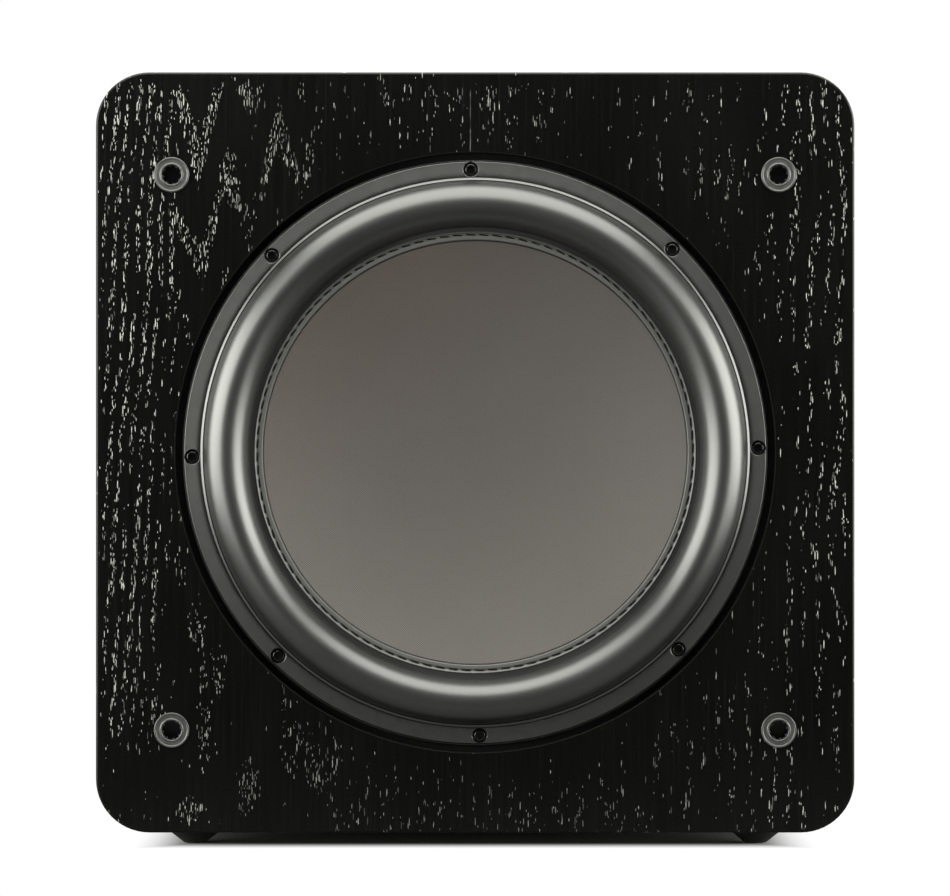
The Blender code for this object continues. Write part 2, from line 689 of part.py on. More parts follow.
def driver_basket(driver):
    """Cast frame: a flange, a bowl with spokes, a ledge for the spider and a seat for the motor."""
    ledge_in = SPIDER_RADIUS - SPIDER_LEDGE
    ledge_top = SPIDER_DEPTH + SPIDER_SKIN + GAP
    seat = MOTOR_DEPTH - GAP
    outer_ring = SPIDER_RADIUS + SPIDER_SLACK + BASKET_WALL
    seat_in = COIL_RADIUS + 22 * MM
    profile = [
        (BASKET_IN, FLANGE_TOP), (FLANGE_RADIUS, FLANGE_TOP), (FLANGE_RADIUS, FLANGE_BOTTOM),
        (BASKET_OUT, FLANGE_BOTTOM), (BASKET_OUT, BASKET_RIM_DEPTH),
        (outer_ring, SPIDER_DEPTH + BASKET_WALL), (outer_ring, seat), (seat_in, seat),
        (seat_in, seat - BASKET_WALL - 2 * MM), (ledge_in, seat - BASKET_WALL - 2 * MM),
        (ledge_in, ledge_top), (SPIDER_RADIUS + SPIDER_SLACK, ledge_top),
        (SPIDER_RADIUS + SPIDER_SLACK, SPIDER_DEPTH - 2 * MM), (BASKET_IN, BASKET_RIM_DEPTH - 2 * MM),
    ]
    basket = add("driver_basket", turned(profile, BIG_RING), aluminium(), parent=driver, smooth=True)
    combine(basket, basket_windows(driver))
    combine(basket, screw_wells("flange_hole_cutter", SCREW_SHANK_RADIUS + 2 * GAP,
                                FLANGE_TOP - GAP, FLANGE_BOTTOM + GAP, driver, HIDDEN_HOLE))
    return combine(basket, screw_wells("flange_well_cutter", SCREW_HEAD_RADIUS + SCREW_WELL_CLEARANCE,
                                       FLANGE_TOP - GAP, FLANGE_TOP + SCREW_SINK, driver))


def trim_ring(driver):
    """Rubber-faced ring over the flange, with a skirt round its edge and a rounded outer corner."""
    skirt_in = FLANGE_RADIUS + GAP
    back = TRIM_SINK + TRIM_THICKNESS
    corner = arc((TRIM_OUT - TRIM_ROUND, TRIM_SINK + TRIM_ROUND), (TRIM_ROUND, TRIM_ROUND), 270, 360, 2)
    profile = [
        (TRIM_IN, TRIM_SINK), *corner, (TRIM_OUT, FLANGE_BOTTOM),
        (skirt_in, FLANGE_BOTTOM), (skirt_in, back), (TRIM_IN, back),
    ]
    trim = add("trim_ring", turned(profile, BIG_RING), rubber(), parent=driver, smooth=True)
    return combine(trim, screw_wells("trim_cutter", SCREW_HEAD_RADIUS + SCREW_WELL_CLEARANCE,
                                     TRIM_SINK - 2 * MM, back + GAP, driver))


def surround(driver):
    """Half roll of rubber between the flange and the cone, with a lip outside and a land inside."""
    middle = ((ROLL_IN + ROLL_OUT) / 2, -ROLL_PLANE)
    half = ROLL_WIDTH / 2
    face = -FOOT_LIP_PROUD
    back = FLANGE_TOP - GAP
    groove = ROLL_OUT + 0.5 * MM
    outside = arc(middle, (half, ROLL_HEIGHT), 0, -180, 8)
    inside = arc(middle, (half - RUBBER, ROLL_HEIGHT - RUBBER), -180, 0, 6)
    land_back = middle[1] + RUBBER
    profile = [
        (FOOT_LIP_OUT, back), (FOOT_LIP_OUT, face), (groove, face), *outside,
        (LAND_IN, middle[1]), (LAND_IN, land_back), (ROLL_IN + RUBBER, land_back),
        *inside, (ROLL_OUT - RUBBER, back),
    ]
    return add("surround", turned(profile, BIG_RING), rubber(), parent=driver, smooth=True)


def dish_depth(radius):
    """How far the dish's front lies behind its edge."""
    sphere = (CONE_RADIUS**2 + CONE_DISH**2) / (2 * CONE_DISH)
    return math.sqrt(sphere**2 - radius**2) - (sphere - CONE_DISH)


def cone_lip():
    return RUBBER + GAP - ROLL_PLANE


def cone_rear_radius(depth):
    """Radius of the cone's rear face at a depth behind the baffle's face."""
    share = (depth - cone_lip() - CONE_WALL) / (CONE_NECK_DEPTH - cone_lip())
    return CONE_RADIUS + (COIL_RADIUS + GAP - CONE_RADIUS) * share


def moving_cone(driver):
    """The pieces that travel together: dish, stitched band, cone, former and winding."""
    edge = -ROLL_PLANE + 0.1 * MM
    woven = material("woven_glass", (0.14, 0.13, 0.12), 0.6)
    rings = 6
    radii = [CONE_RADIUS * i / rings for i in range(rings + 1)]
    front = [(r, edge + dish_depth(r)) for r in radii]
    back = [(r, y + CONE_SKIN) for r, y in reversed(front)]
    add("cone_dish", turned(front + back, BIG_RING), woven, parent=driver, smooth=True)

    ring("stitch_band", BAND_IN, BAND_OUT, edge, edge + BAND_THICKNESS, rubber(), driver, BIG_RING)

    lip, neck = cone_lip(), COIL_RADIUS + GAP
    profile = [
        (ROLL_IN, lip), (ROLL_IN, lip + CONE_WALL), (CONE_RADIUS, lip + CONE_WALL),
        (neck, CONE_NECK_DEPTH + CONE_WALL), (neck, CONE_NECK_DEPTH), (CONE_RADIUS, lip),
    ]
    add("cone_body", turned(profile, BIG_RING), material("paper_cone", (0.03, 0.03, 0.03), 0.8),
        parent=driver, smooth=True)

    ring("coil_former", COIL_RADIUS - FORMER_WALL, COIL_RADIUS, CONE_NECK_DEPTH,
         CONE_NECK_DEPTH + FORMER_LENGTH, material("former_film", (0.4, 0.25, 0.08), 0.4), driver)
    end = CONE_NECK_DEPTH + FORMER_LENGTH - 2 * MM
    ring("coil_winding", COIL_RADIUS + GAP, COIL_RADIUS + GAP + WINDING_WALL,
         end - WINDING_LENGTH, end, copper(), driver)


def spider(driver):
    """Corrugated cloth disc that centres the coil."""
    inner, outer = COIL_RADIUS + GAP, SPIDER_RADIUS
    wave_in, wave_out = inner + 5 * MM, outer - SPIDER_LEDGE
    front = [(inner, 0)]
    steps = SPIDER_WAVES * 4
    for i in range(steps + 1):
        r = wave_in + (wave_out - wave_in) * i / steps
        front.append((r, SPIDER_WAVE_HEIGHT * math.sin(math.tau * i / 4)))
    front.append((outer, 0))
    back = [(r, y + SPIDER_SKIN) for r, y in reversed(front)]
    profile = [(r, SPIDER_DEPTH + y) for r, y in front + back]
    return add("spider", turned(profile, SMALL_RING), material("spider_cloth", (0.5, 0.4, 0.2), 0.9),
               parent=driver, smooth=True)


def motor(driver):
    gap_in = COIL_RADIUS + GAP + WINDING_WALL + COIL_CLEARANCE
    plate_back = MOTOR_DEPTH + TOP_PLATE_THICKNESS
    magnet_front = plate_back + GAP
    magnet_back = magnet_front + MAGNET_THICKNESS
    yoke_front = magnet_back + GAP
    ring("top_plate", gap_in, TOP_PLATE_RADIUS, MOTOR_DEPTH, plate_back, black_metal(), driver)
    ring("magnet", MAGNET_BORE, MAGNET_RADIUS, magnet_front, magnet_back,
         material("ferrite", (0.05, 0.05, 0.055), 0.6), driver)
    ring("shorting_ring", MAGNET_BORE - GAP - SHORTING_WALL, MAGNET_BORE - GAP,
         yoke_front - MAGNET_THICKNESS / 2, yoke_front - GAP, aluminium(), driver)
    pole = COIL_RADIUS - FORMER_WALL - COIL_CLEARANCE
    profile = [
        (VENT_RADIUS, MOTOR_DEPTH), (pole, MOTOR_DEPTH), (pole, yoke_front),
        (TOP_PLATE_RADIUS, yoke_front), (TOP_PLATE_RADIUS, yoke_front + YOKE_THICKNESS),
        (VENT_RADIUS, yoke_front + YOKE_THICKNESS),
    ]
    add("pole_yoke", turned(profile, SMALL_RING), black_metal(), parent=driver, smooth=True)


def driver_screws(driver):
    """Black button heads with a hexagon key socket."""
    seat = FLANGE_TOP + SCREW_SINK - GAP
    top = seat - SCREW_HEAD_HEIGHT
    shoulder = 1.1 * MM
    profile = [
        (0, top), (SCREW_HEAD_RADIUS * 0.62, top), (SCREW_HEAD_RADIUS, top + shoulder),
        (SCREW_HEAD_RADIUS, seat), (SCREW_SHANK_RADIUS, seat),
        (SCREW_SHANK_RADIUS, seat + SCREW_LENGTH), (0, seat + SCREW_LENGTH),
    ]
    key = extruded(circle((0, 0), SCREW_KEY_RADIUS, 6), top - SCREW_KEY_DEPTH, top + SCREW_KEY_DEPTH)
    for i, (x, z) in enumerate(screw_places(), start=1):
        screw = add(f"driver_screw_{i}", turned(profile, FINE_HOLE), black_metal(), (x, 0, z), driver,
                    smooth=True)
        combine(screw, add(f"key_cutter_{i}", key.copy(), location=(x, 0, z), parent=driver))
    key.free()


def terminals(driver):
    """Terminal block under the basket, and the two braided leads from it to the cone."""
    width, depth, height = TERMINAL_SIZE
    outer_ring = SPIDER_RADIUS + SPIDER_SLACK + BASKET_WALL
    top = -outer_ring - GAP
    front = SPIDER_DEPTH + BASKET_WALL + GAP
    add("terminal_block", box_between((-width / 2, front, top - height), (width / 2, front + depth, top)),
        dark_plastic(), parent=driver)
    start_z = top - height / 2
    cone_y = front - 42 * MM
    cone_z = -cone_rear_radius(cone_y) - TINSEL_RADIUS - GAP
    for side, sx in (("left", -1), ("right", 1)):
        route = [
            (sx * 15 * MM, front - TINSEL_RADIUS, start_z),
            (sx * 18 * MM, front - 12 * MM, start_z - 4 * MM),
            (sx * 24 * MM, front - 24 * MM, start_z),
            (sx * 26 * MM, front - 31 * MM, start_z + 14 * MM),
            (sx * 22 * MM, front - 36 * MM, start_z + 28 * MM),
            (sx * 16 * MM, cone_y, cone_z),
        ]
        wire(f"tinsel_lead_{side}", route, TINSEL_RADIUS, copper(), driver)
    return (0, front + depth, start_z)


# ---------------------------------------------------------------- amplifier


def plate_holes(amp):
    """Every opening in the amplifier plate, as one cutter."""
    reach = (PLATE_BACK - 5 * MM, PLATE_FACE + 5 * MM)
    teeth = [
        moved(extruded(circle((0, 0), KNOB_SHAFT_RADIUS + RUNNING_GAP, FINE_HOLE), *reach), (x, 0, KNOB_Z))
        for x in (-KNOB_PITCH, 0, KNOB_PITCH)
    ]
    teeth.append(moved(extruded(circle((0, 0), LENS_RADIUS + GAP, FINE_HOLE), *reach), (LENS_X, 0, KNOB_Z)))
    teeth += [
        moved(extruded(circle((0, 0), JACK_RADIUS + GAP, SMALL_RING // 2), *reach), (x, 0, z))
        for x, z in jack_places()
    ]
    slot = (SLIDER_SIZE + SLIDER_TRAVEL + 2 * RUNNING_GAP, SLIDER_SIZE + 2 * RUNNING_GAP)
    inlet = (INLET_WIDTH + 2 * GAP, INLET_HEIGHT + 2 * GAP)
    bezel = (ROCKER_WIDTH + 2 * (RUNNING_GAP + BEZEL_WALL + GAP),
             2 * (ROCKER_RADIUS + RUNNING_GAP + BEZEL_WALL + GAP))
    for size, place in (
        (slot, (SLIDER_X, SLIDER_Z)), (inlet, (INLET_X, INLET_Z)), (bezel, (ROCKER_X, ROCKER_Z)),
    ):
        teeth.append(extruded(rectangle(*size, place), *reach))
    return add("plate_hole_cutter", merged(teeth), parent=amp)


def amplifier_case(amp):
    foam = material("foam", (0.06, 0.06, 0.065), 0.95)
    outline = rounded_rectangle(PLATE_WIDTH, PLATE_HEIGHT, PLATE_CORNER, 3)
    gasket = add("amp_gasket", extruded(outline, GAP, GAP + GASKET_THICKNESS), foam, parent=amp)
    combine(gasket, add("amp_gasket_cutter", box((CUTOUT_WIDTH, PLATE_LAP, CUTOUT_HEIGHT)), parent=amp))

    plate = add("amp_plate", extruded(outline, PLATE_BACK, PLATE_FACE), black_metal(), parent=amp)
    combine(plate, plate_holes(amp))

    width = CUTOUT_WIDTH - 2 * CHASSIS_CLEARANCE
    height = CUTOUT_HEIGHT - 2 * CHASSIS_CLEARANCE
    mouth, floor = PLATE_BACK - GAP, PLATE_BACK - CHASSIS_DEPTH
    case = add("amp_chassis", box_between((-width / 2, floor, -height / 2), (width / 2, mouth, height / 2)),
               steel(), parent=amp)
    hollow = box_between((-width / 2 + SHEET, floor + SHEET, -height / 2 + SHEET),
                         (width / 2 - SHEET, mouth + SHEET, height / 2 - SHEET))
    hole = moved(extruded(circle((0, 0), CABLE_RADIUS + CABLE_HOLE_CLEARANCE, FINE_HOLE),
                          floor - SHEET, floor + 2 * SHEET), (0, 0, cable_hole_z()))
    combine(case, add("chassis_hollow_cutter", hollow, parent=amp))
    combine(case, add("chassis_hole_cutter", hole, parent=amp))


def cable_hole_z():
    return TRANSFORMER_Z + TRANSFORMER_RADIUS + 6 * CABLE_RADIUS


def heatsink(amp):
    """Extrusion with upright fins, drawn as one comb outline."""
    front = PLATE_FACE + GAP
    root, tip = front + SINK_BASE, front + SINK_BASE + SINK_FIN_LENGTH
    pitch = (SINK_WIDTH - SINK_FIN_THICKNESS) / (SINK_FINS - 1)
    comb = [(-SINK_WIDTH / 2, front)]
    for i in range(SINK_FINS):
        left = -SINK_WIDTH / 2 + i * pitch
        right = left + SINK_FIN_THICKNESS
        comb += [(left, root), (left, tip), (right, tip), (right, root)]
    comb = [comb[0], *comb[2:-1], (SINK_WIDTH / 2, front)]
    bm = bmesh.new()
    low, high = SINK_Z - SINK_HEIGHT / 2, SINK_Z + SINK_HEIGHT / 2
    face = bm.faces.new([bm.verts.new((x, y, low)) for x, y in comb])
    made = bmesh.ops.extrude_face_region(bm, geom=[face])
    bmesh.ops.translate(bm, verts=[v for v in made["geom"] if isinstance(v, bmesh.types.BMVert)],
                        vec=(0, 0, high - low))
    return add("heatsink", bm, black_metal(), parent=amp)


def knobs(amp):
    """Three rotary controls, each with its shaft through the plate and a pointer groove."""
    foot = PLATE_FACE + RUNNING_GAP
    top = foot + KNOB_HEIGHT
    skirt = 3 * MM
    shaft_end = PLATE_BACK - 8 * MM
    profile = [
        (0, shaft_end), (KNOB_SHAFT_RADIUS, shaft_end), (KNOB_SHAFT_RADIUS, foot),
        (KNOB_SKIRT_RADIUS, foot), (KNOB_SKIRT_RADIUS, foot + skirt), (KNOB_RADIUS, foot + skirt),
        (KNOB_RADIUS - 0.8 * MM, top - 1 * MM), (KNOB_RADIUS - 1.8 * MM, top), (0, top),
    ]
    names = ("volume_knob", "crossover_knob", "phase_knob")
    for name, x in zip(names, (KNOB_PITCH, 0, -KNOB_PITCH)):
        knob = add(name, turned(profile, SMALL_RING), dark_plastic(), (x, 0, KNOB_Z), amp, smooth=True)
        groove = box_between((-0.6 * MM, foot + skirt + 1 * MM, KNOB_RADIUS / 2),
                             (0.6 * MM, top + 2 * MM, KNOB_RADIUS * 2))
        combine(knob, add(name + "_groove_cutter", groove, location=(x, 0, KNOB_Z), parent=amp))


def status_lens(amp):
    proud = 1.2 * MM
    head = LENS_RADIUS + 1 * MM
    inside = PLATE_BACK - GAP
    profile = [
        (0, inside - 3 * MM), (head, inside - 3 * MM), (head, inside), (LENS_RADIUS, inside),
        *arc((0, PLATE_FACE), (LENS_RADIUS, proud), 0, 90, 3)[:-1], (0, PLATE_FACE + proud),
    ]
    add("status_lens", turned(profile, FINE_HOLE), material("blue_lens", (0.05, 0.2, 0.7), 0.2),
        (LENS_X, 0, KNOB_Z), amp, smooth=True)


def mode_slider(amp):
    """Two-position slide switch: a lever in a slot, on a foot wider than the slot."""
    x = SLIDER_X - SLIDER_TRAVEL / 2
    foot_back = PLATE_BACK - GAP
    foot = (SLIDER_SIZE + 2 * SLIDER_TRAVEL, 2 * MM, 2 * SLIDER_SIZE)
    lever = box_between((-SLIDER_SIZE / 2, foot_back - 1 * MM, -SLIDER_SIZE / 2),
                        (SLIDER_SIZE / 2, PLATE_FACE + SLIDER_HEIGHT, SLIDER_SIZE / 2))
    slider = add("mode_slider", box(foot, (0, foot_back - foot[1] / 2, 0)), dark_plastic(),
                 (x, 0, SLIDER_Z), amp)
    return combine(slider, add("slider_lever", lever, location=(x, 0, SLIDER_Z), parent=amp), "UNION")


def jack_places():
    dx, dz = JACK_PITCH[0] / 2, JACK_PITCH[1] / 2
    return [(JACK_X + sx * dx, JACK_Z + sz * dz) for sx in (-1, 1) for sz in (-1, 1)]


def line_jacks(amp):
    """Moulded block behind the plate with four phono sockets through it."""
    front = PLATE_BACK - GAP
    margin = 2 * JACK_RADIUS
    body = box_between(
        (JACK_X - JACK_PITCH[0] / 2 - margin, front - 12 * MM, JACK_Z - JACK_PITCH[1] / 2 - margin),
        (JACK_X + JACK_PITCH[0] / 2 + margin, front, JACK_Z + JACK_PITCH[1] / 2 + margin),
    )
    tip = PLATE_FACE + JACK_LENGTH
    profile = [
        (0, front - 2 * MM), (JACK_RADIUS, front - 2 * MM), (JACK_RADIUS, tip), (JACK_BORE, tip),
        (JACK_BORE, PLATE_FACE), (0, PLATE_FACE),
    ]
    barrels = [moved(turned(profile, SMALL_RING // 2), (x, 0, z)) for x, z in jack_places()]
    block = add("line_jacks", body, dark_plastic(), parent=amp)
    return combine(block, add("jack_barrels", merged(barrels), parent=amp), "UNION")


def power_inlet(amp):
    """Mains inlet with three pins, and the drawer below it that holds the fuse."""
    face = PLATE_FACE + GAP + INLET_FLANGE
    at = (INLET_X, 0, INLET_Z)
    flange = rounded_rectangle(INLET_WIDTH + 2 * INLET_RIM, INLET_HEIGHT + 2 * INLET_RIM, 2 * MM, 2)
    body = box_between((-INLET_WIDTH / 2, face - INLET_DEPTH, -INLET_HEIGHT / 2),
                       (INLET_WIDTH / 2, face - INLET_FLANGE / 2, INLET_HEIGHT / 2))
    inlet = add("power_inlet", extruded(flange, PLATE_FACE + GAP, face), dark_plastic(), at, amp)
    combine(inlet, add("inlet_body", body, location=at, parent=amp), "UNION")

    width, height, depth = INLET_CAVITY
    chamfer = 4 * MM
    mouth = [
        (-width / 2, -height / 2), (width / 2, -height / 2), (width / 2, height / 2 - chamfer),
        (width / 2 - chamfer, height / 2), (chamfer - width / 2, height / 2), (-width / 2, height / 2 - chamfer),
    ]
    cavity = moved(extruded(mouth, face - depth, face + 5 * MM), (0, 0, INLET_CAVITY_Z))
    room = [s / 2 + RUNNING_GAP for s in DRAWER_SIZE[:2]]
    pocket = box_between((-room[0], face - DRAWER_SIZE[2] - RUNNING_GAP, DRAWER_Z - room[1]),
                         (room[0], face + 5 * MM, DRAWER_Z + room[1]))
    combine(inlet, add("inlet_cutter", merged([cavity, pocket]), location=at, parent=amp))

    thick, tall, length = PIN_SIZE
    floor = face - depth
    pins = [
        box((thick, length + 2 * MM, tall), (x, floor + length / 2 - 1 * MM, INLET_CAVITY_Z + z))
        for x, z in ((-PIN_PITCH / 2, -2 * MM), (PIN_PITCH / 2, -2 * MM), (0, 2 * MM))
    ]
    combine(inlet, add("inlet_pins", merged(pins), location=at, parent=amp), "UNION")

    wide, high, deep = DRAWER_SIZE
    tray = box_between((-wide / 2, face - deep, -high / 2), (wide / 2, face + DRAWER_TAB, high / 2))
    drawer_at = (INLET_X, 0, INLET_Z + DRAWER_Z)
    drawer = add("fuse_drawer", tray, dark_plastic(), drawer_at, amp)
    fuse_room = box_between((-wide / 2 + 1.5 * MM, face - deep + 1.5 * MM, -high / 2 + 1.5 * MM),
                            (wide / 2 - 1.5 * MM, face - 2 * MM, high))
    return combine(drawer, add("fuse_room_cutter", fuse_room, location=drawer_at, parent=amp))


def power_switch(amp):
    """Rocker switch: a bezel, and a rocker that tips about its middle."""
    pivot_y = PLATE_FACE
    at = (ROCKER_X, pivot_y, ROCKER_Z)
    room = (ROCKER_WIDTH + 2 * RUNNING_GAP, 2 * (ROCKER_RADIUS + RUNNING_GAP))
    body = [s + 2 * BEZEL_WALL for s in room]
    rim = [s + 2 * BEZEL_RIM for s in body]
    bezel = add("switch_bezel", extruded(rounded_rectangle(*rim, 1 * MM, 2), GAP, BEZEL_PROUD),
                dark_plastic(), at, amp)
    shell = box_between((-body[0] / 2, -BEZEL_DEPTH, -body[1] / 2), (body[0] / 2, BEZEL_PROUD / 2, body[1] / 2))
    combine(bezel, add("bezel_body", shell, location=at, parent=amp), "UNION")
    hollow = box_between((-room[0] / 2, -BEZEL_DEPTH + BEZEL_WALL, -room[1] / 2),
                         (room[0] / 2, BEZEL_DEPTH, room[1] / 2))
    combine(bezel, add("bezel_cutter", hollow, location=at, parent=amp))

    lift = 4 * MM
    reach = math.sqrt(ROCKER_RADIUS**2 - lift**2)
    start = math.degrees(math.asin(lift / ROCKER_RADIUS))
    section = [(-reach, lift), (0, lift / 2.5), *arc((0, 0), (ROCKER_RADIUS, ROCKER_RADIUS), start, -180 - start, 10)]
    section = section[:-1]
    bm = extruded(section, -ROCKER_WIDTH / 2, ROCKER_WIDTH / 2)
    for vert in bm.verts:
        across, along, out = vert.co
        turn = ROCKER_TILT
        vert.co = (along, out * math.cos(turn) - across * math.sin(turn),
                   across * math.cos(turn) + out * math.sin(turn))
    return add("power_rocker", bm, dark_plastic(), at, amp)


def electronics(amp):
    """Board, transformer and reservoir capacitors inside the amplifier's case."""
    board_y = PLATE_BACK - BOARD_DEPTH
    add("main_board", box(BOARD_SIZE, (0, board_y, 0)), material("board", (0.02, 0.12, 0.05), 0.5), parent=amp)

    floor = PLATE_BACK - CHASSIS_DEPTH + SHEET + GAP
    half = TRANSFORMER_HEIGHT / 2
    middle = ((TRANSFORMER_RADIUS + TRANSFORMER_BORE) / 2, floor + half)
    wall = (TRANSFORMER_RADIUS - TRANSFORMER_BORE) / 2
    corner = 6 * MM
    section = rounded_rectangle(2 * wall, 2 * half, corner, 2, middle)
    add("transformer", turned(section, SMALL_RING), material("winding_tape", (0.5, 0.38, 0.1), 0.5),
        (0, 0, TRANSFORMER_Z), amp, smooth=True)

    front = board_y - BOARD_SIZE[1] / 2 - GAP
    profile = [
        (0, front), (CAPACITOR_RADIUS, front), (CAPACITOR_RADIUS, front - CAPACITOR_LENGTH + 1 * MM),
        (CAPACITOR_RADIUS - 1 * MM, front - CAPACITOR_LENGTH), (0, front - CAPACITOR_LENGTH),
    ]
    for side, sx in (("left", -1), ("right", 1)):
        add(f"capacitor_{side}", turned(profile, SMALL_RING), dark_plastic(),
            (sx * CAPACITOR_PITCH / 2, 0, CAPACITOR_Z), amp, smooth=True)


def speaker_cable(end):
    """Twin lead from inside the amplifier, out through its case, to the driver's terminals."""
    hole_y = BACK_Y + PLATE_BACK - CHASSIS_DEPTH
    hole_z = MIDDLE_Z + cable_hole_z()
    x, y, z = end[0], FRONT_Y + end[1] + GAP + CABLE_RADIUS, MIDDLE_Z + end[2]
    yoke_back = FRONT_Y + MOTOR_DEPTH + TOP_PLATE_THICKNESS + MAGNET_THICKNESS + YOKE_THICKNESS
    under = MIDDLE_Z - MAGNET_RADIUS - MAGNET_CLEARANCE / 2
    route = [
        (x, hole_y + 6 * MM, hole_z), (x, hole_y, hole_z), (x, hole_y - 12 * MM, hole_z),
        (x, hole_y - 36 * MM, (hole_z + under) / 2), (x, yoke_back + 30 * MM, under - 3 * MM),
        (x, yoke_back, under), (x, (yoke_back + y) / 2, under), (x, y, min(z, under)),
    ]
    wire("speaker_cable", route, CABLE_RADIUS, material("cable_jacket", (0.03, 0.03, 0.03), 0.5))


# ---------------------------------------------------------------- assembly


def main():
    clear_scene()
    cabinet = empty("cabinet_middle", (0, FRONT_Y, MIDDLE_Z))
    driver = empty("driver_axis", (0, FRONT_Y, MIDDLE_Z))
    amp = empty("amplifier_middle", (0, BACK_Y, MIDDLE_Z))

    front_baffle(cabinet)
    wrap_panels(cabinet)
    back_panel(cabinet)
    brace(cabinet)
    damping_pad(cabinet)
    feet()
    grille_sockets(cabinet)

    driver_gasket(driver)
    driver_basket(driver)
    trim_ring(driver)
    surround(driver)
    moving_cone(driver)
    spider(driver)
    motor(driver)
    driver_screws(driver)
    cable_end = terminals(driver)

    amplifier_case(amp)
    heatsink(amp)
    knobs(amp)
    status_lens(amp)
    mode_slider(amp)
    line_jacks(amp)
    power_inlet(amp)
    power_switch(amp)
    electronics(amp)
    speaker_cable(cable_end)


main()
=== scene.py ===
import math

import bmesh
import bpy
from mathutils import Matrix, Vector


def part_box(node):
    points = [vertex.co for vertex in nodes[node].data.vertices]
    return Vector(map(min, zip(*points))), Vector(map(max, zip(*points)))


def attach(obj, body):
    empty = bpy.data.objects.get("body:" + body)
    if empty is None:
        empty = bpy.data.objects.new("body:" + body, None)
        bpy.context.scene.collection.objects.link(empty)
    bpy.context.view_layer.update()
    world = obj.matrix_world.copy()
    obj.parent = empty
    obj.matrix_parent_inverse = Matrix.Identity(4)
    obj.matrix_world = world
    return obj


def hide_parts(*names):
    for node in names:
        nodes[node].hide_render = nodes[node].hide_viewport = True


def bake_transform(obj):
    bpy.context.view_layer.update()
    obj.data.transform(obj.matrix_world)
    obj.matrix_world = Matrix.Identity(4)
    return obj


mm = 0.001
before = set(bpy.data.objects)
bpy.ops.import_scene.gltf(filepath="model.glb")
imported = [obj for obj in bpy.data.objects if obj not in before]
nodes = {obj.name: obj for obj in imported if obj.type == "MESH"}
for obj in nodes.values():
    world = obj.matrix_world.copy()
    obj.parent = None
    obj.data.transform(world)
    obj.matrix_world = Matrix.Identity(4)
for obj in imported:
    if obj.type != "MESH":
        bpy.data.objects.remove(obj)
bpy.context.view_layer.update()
scene = bpy.context.scene

# places that everything else is measured from
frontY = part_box("front_baffle")[0].y
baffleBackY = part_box("front_baffle")[1].y
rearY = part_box("back_panel")[1].y
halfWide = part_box("front_baffle")[1].x
midZ = (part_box("front_baffle")[0].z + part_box("front_baffle")[1].z) / 2
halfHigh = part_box("front_baffle")[1].z - midZ


def centreOf(node):
    low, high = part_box(node)
    return (low + high) / 2


# sums on sockets, and one way to add any other node


def plug(tree, socket, value):
    if isinstance(value, Wire):
        tree.links.new(value.socket, socket)
    else:
        socket.default_value = value


class Wire:
    # an output socket that adds its own Math nodes
    def __init__(self, tree, socket):
        self.tree = tree
        self.socket = socket

    def maths(self, operation, *values):
        made = self.tree.nodes.new("ShaderNodeMath")
        made.operation = operation
        for socket, value in zip(made.inputs, values):
            plug(self.tree, socket, value)
        return Wire(self.tree, made.outputs[0])

    def other(self, output):
        return Wire(self.tree, self.socket.node.outputs[output])

    def __add__(self, value):
        return self.maths("ADD", self, value)

    def __radd__(self, value):
        return self.maths("ADD", value, self)

    def __sub__(self, value):
        return self.maths("SUBTRACT", self, value)

    def __rsub__(self, value):
        return self.maths("SUBTRACT", value, self)

    def __mul__(self, value):
        return self.maths("MULTIPLY", self, value)

    def __rmul__(self, value):
        return self.maths("MULTIPLY", value, self)

    def __truediv__(self, value):
        return self.maths("DIVIDE", self, value)

    def __rtruediv__(self, value):
        return self.maths("DIVIDE", value, self)

    def __pow__(self, value):
        return self.maths("POWER", self, value)

    def sine(self):
        return self.maths("SINE", self)

    def cosine(self):
        return self.maths("COSINE", self)

    def fraction(self):
        return self.maths("FRACT", self)

    def size(self):
        return self.maths("ABSOLUTE", self)

    def least(self, value):
        return self.maths("MINIMUM", self, value)

    def most(self, value):
        return self.maths("MAXIMUM", self, value)

    def under(self, value):
        return self.maths("LESS_THAN", self, value)


class Recipe:
    # wraps a node tree
    def __init__(self, tree):
        self.tree = tree

    def node(self, kind, settings=None, inputs=None, output=0):
        made = self.tree.nodes.new(kind)
        for key, value in (settings or {}).items():
            setattr(made, key, value)
        for key, value in (inputs or {}).items():
            plug(self.tree, made.inputs[key], value)
        return Wire(self.tree, made.outputs[output]) if made.outputs else made

    def split(self, vector):
        first = self.node("ShaderNodeSeparateXYZ", inputs={0: vector})
        return first, first.other(1), first.other(2)

    def joined(self, x, y, z=0.0):
        return self.node("ShaderNodeCombineXYZ", inputs={0: x, 1: y, 2: z})

    def ramp(self, value, low, high, toLow=0.0, toHigh=1.0, soft=True):
        kind = "SMOOTHSTEP" if soft else "LINEAR"
        return self.node(
            "ShaderNodeMapRange",
            {"interpolation_type": kind},
            {0: value, 1: low, 2: high, 3: toLow, 4: toHigh},
        )


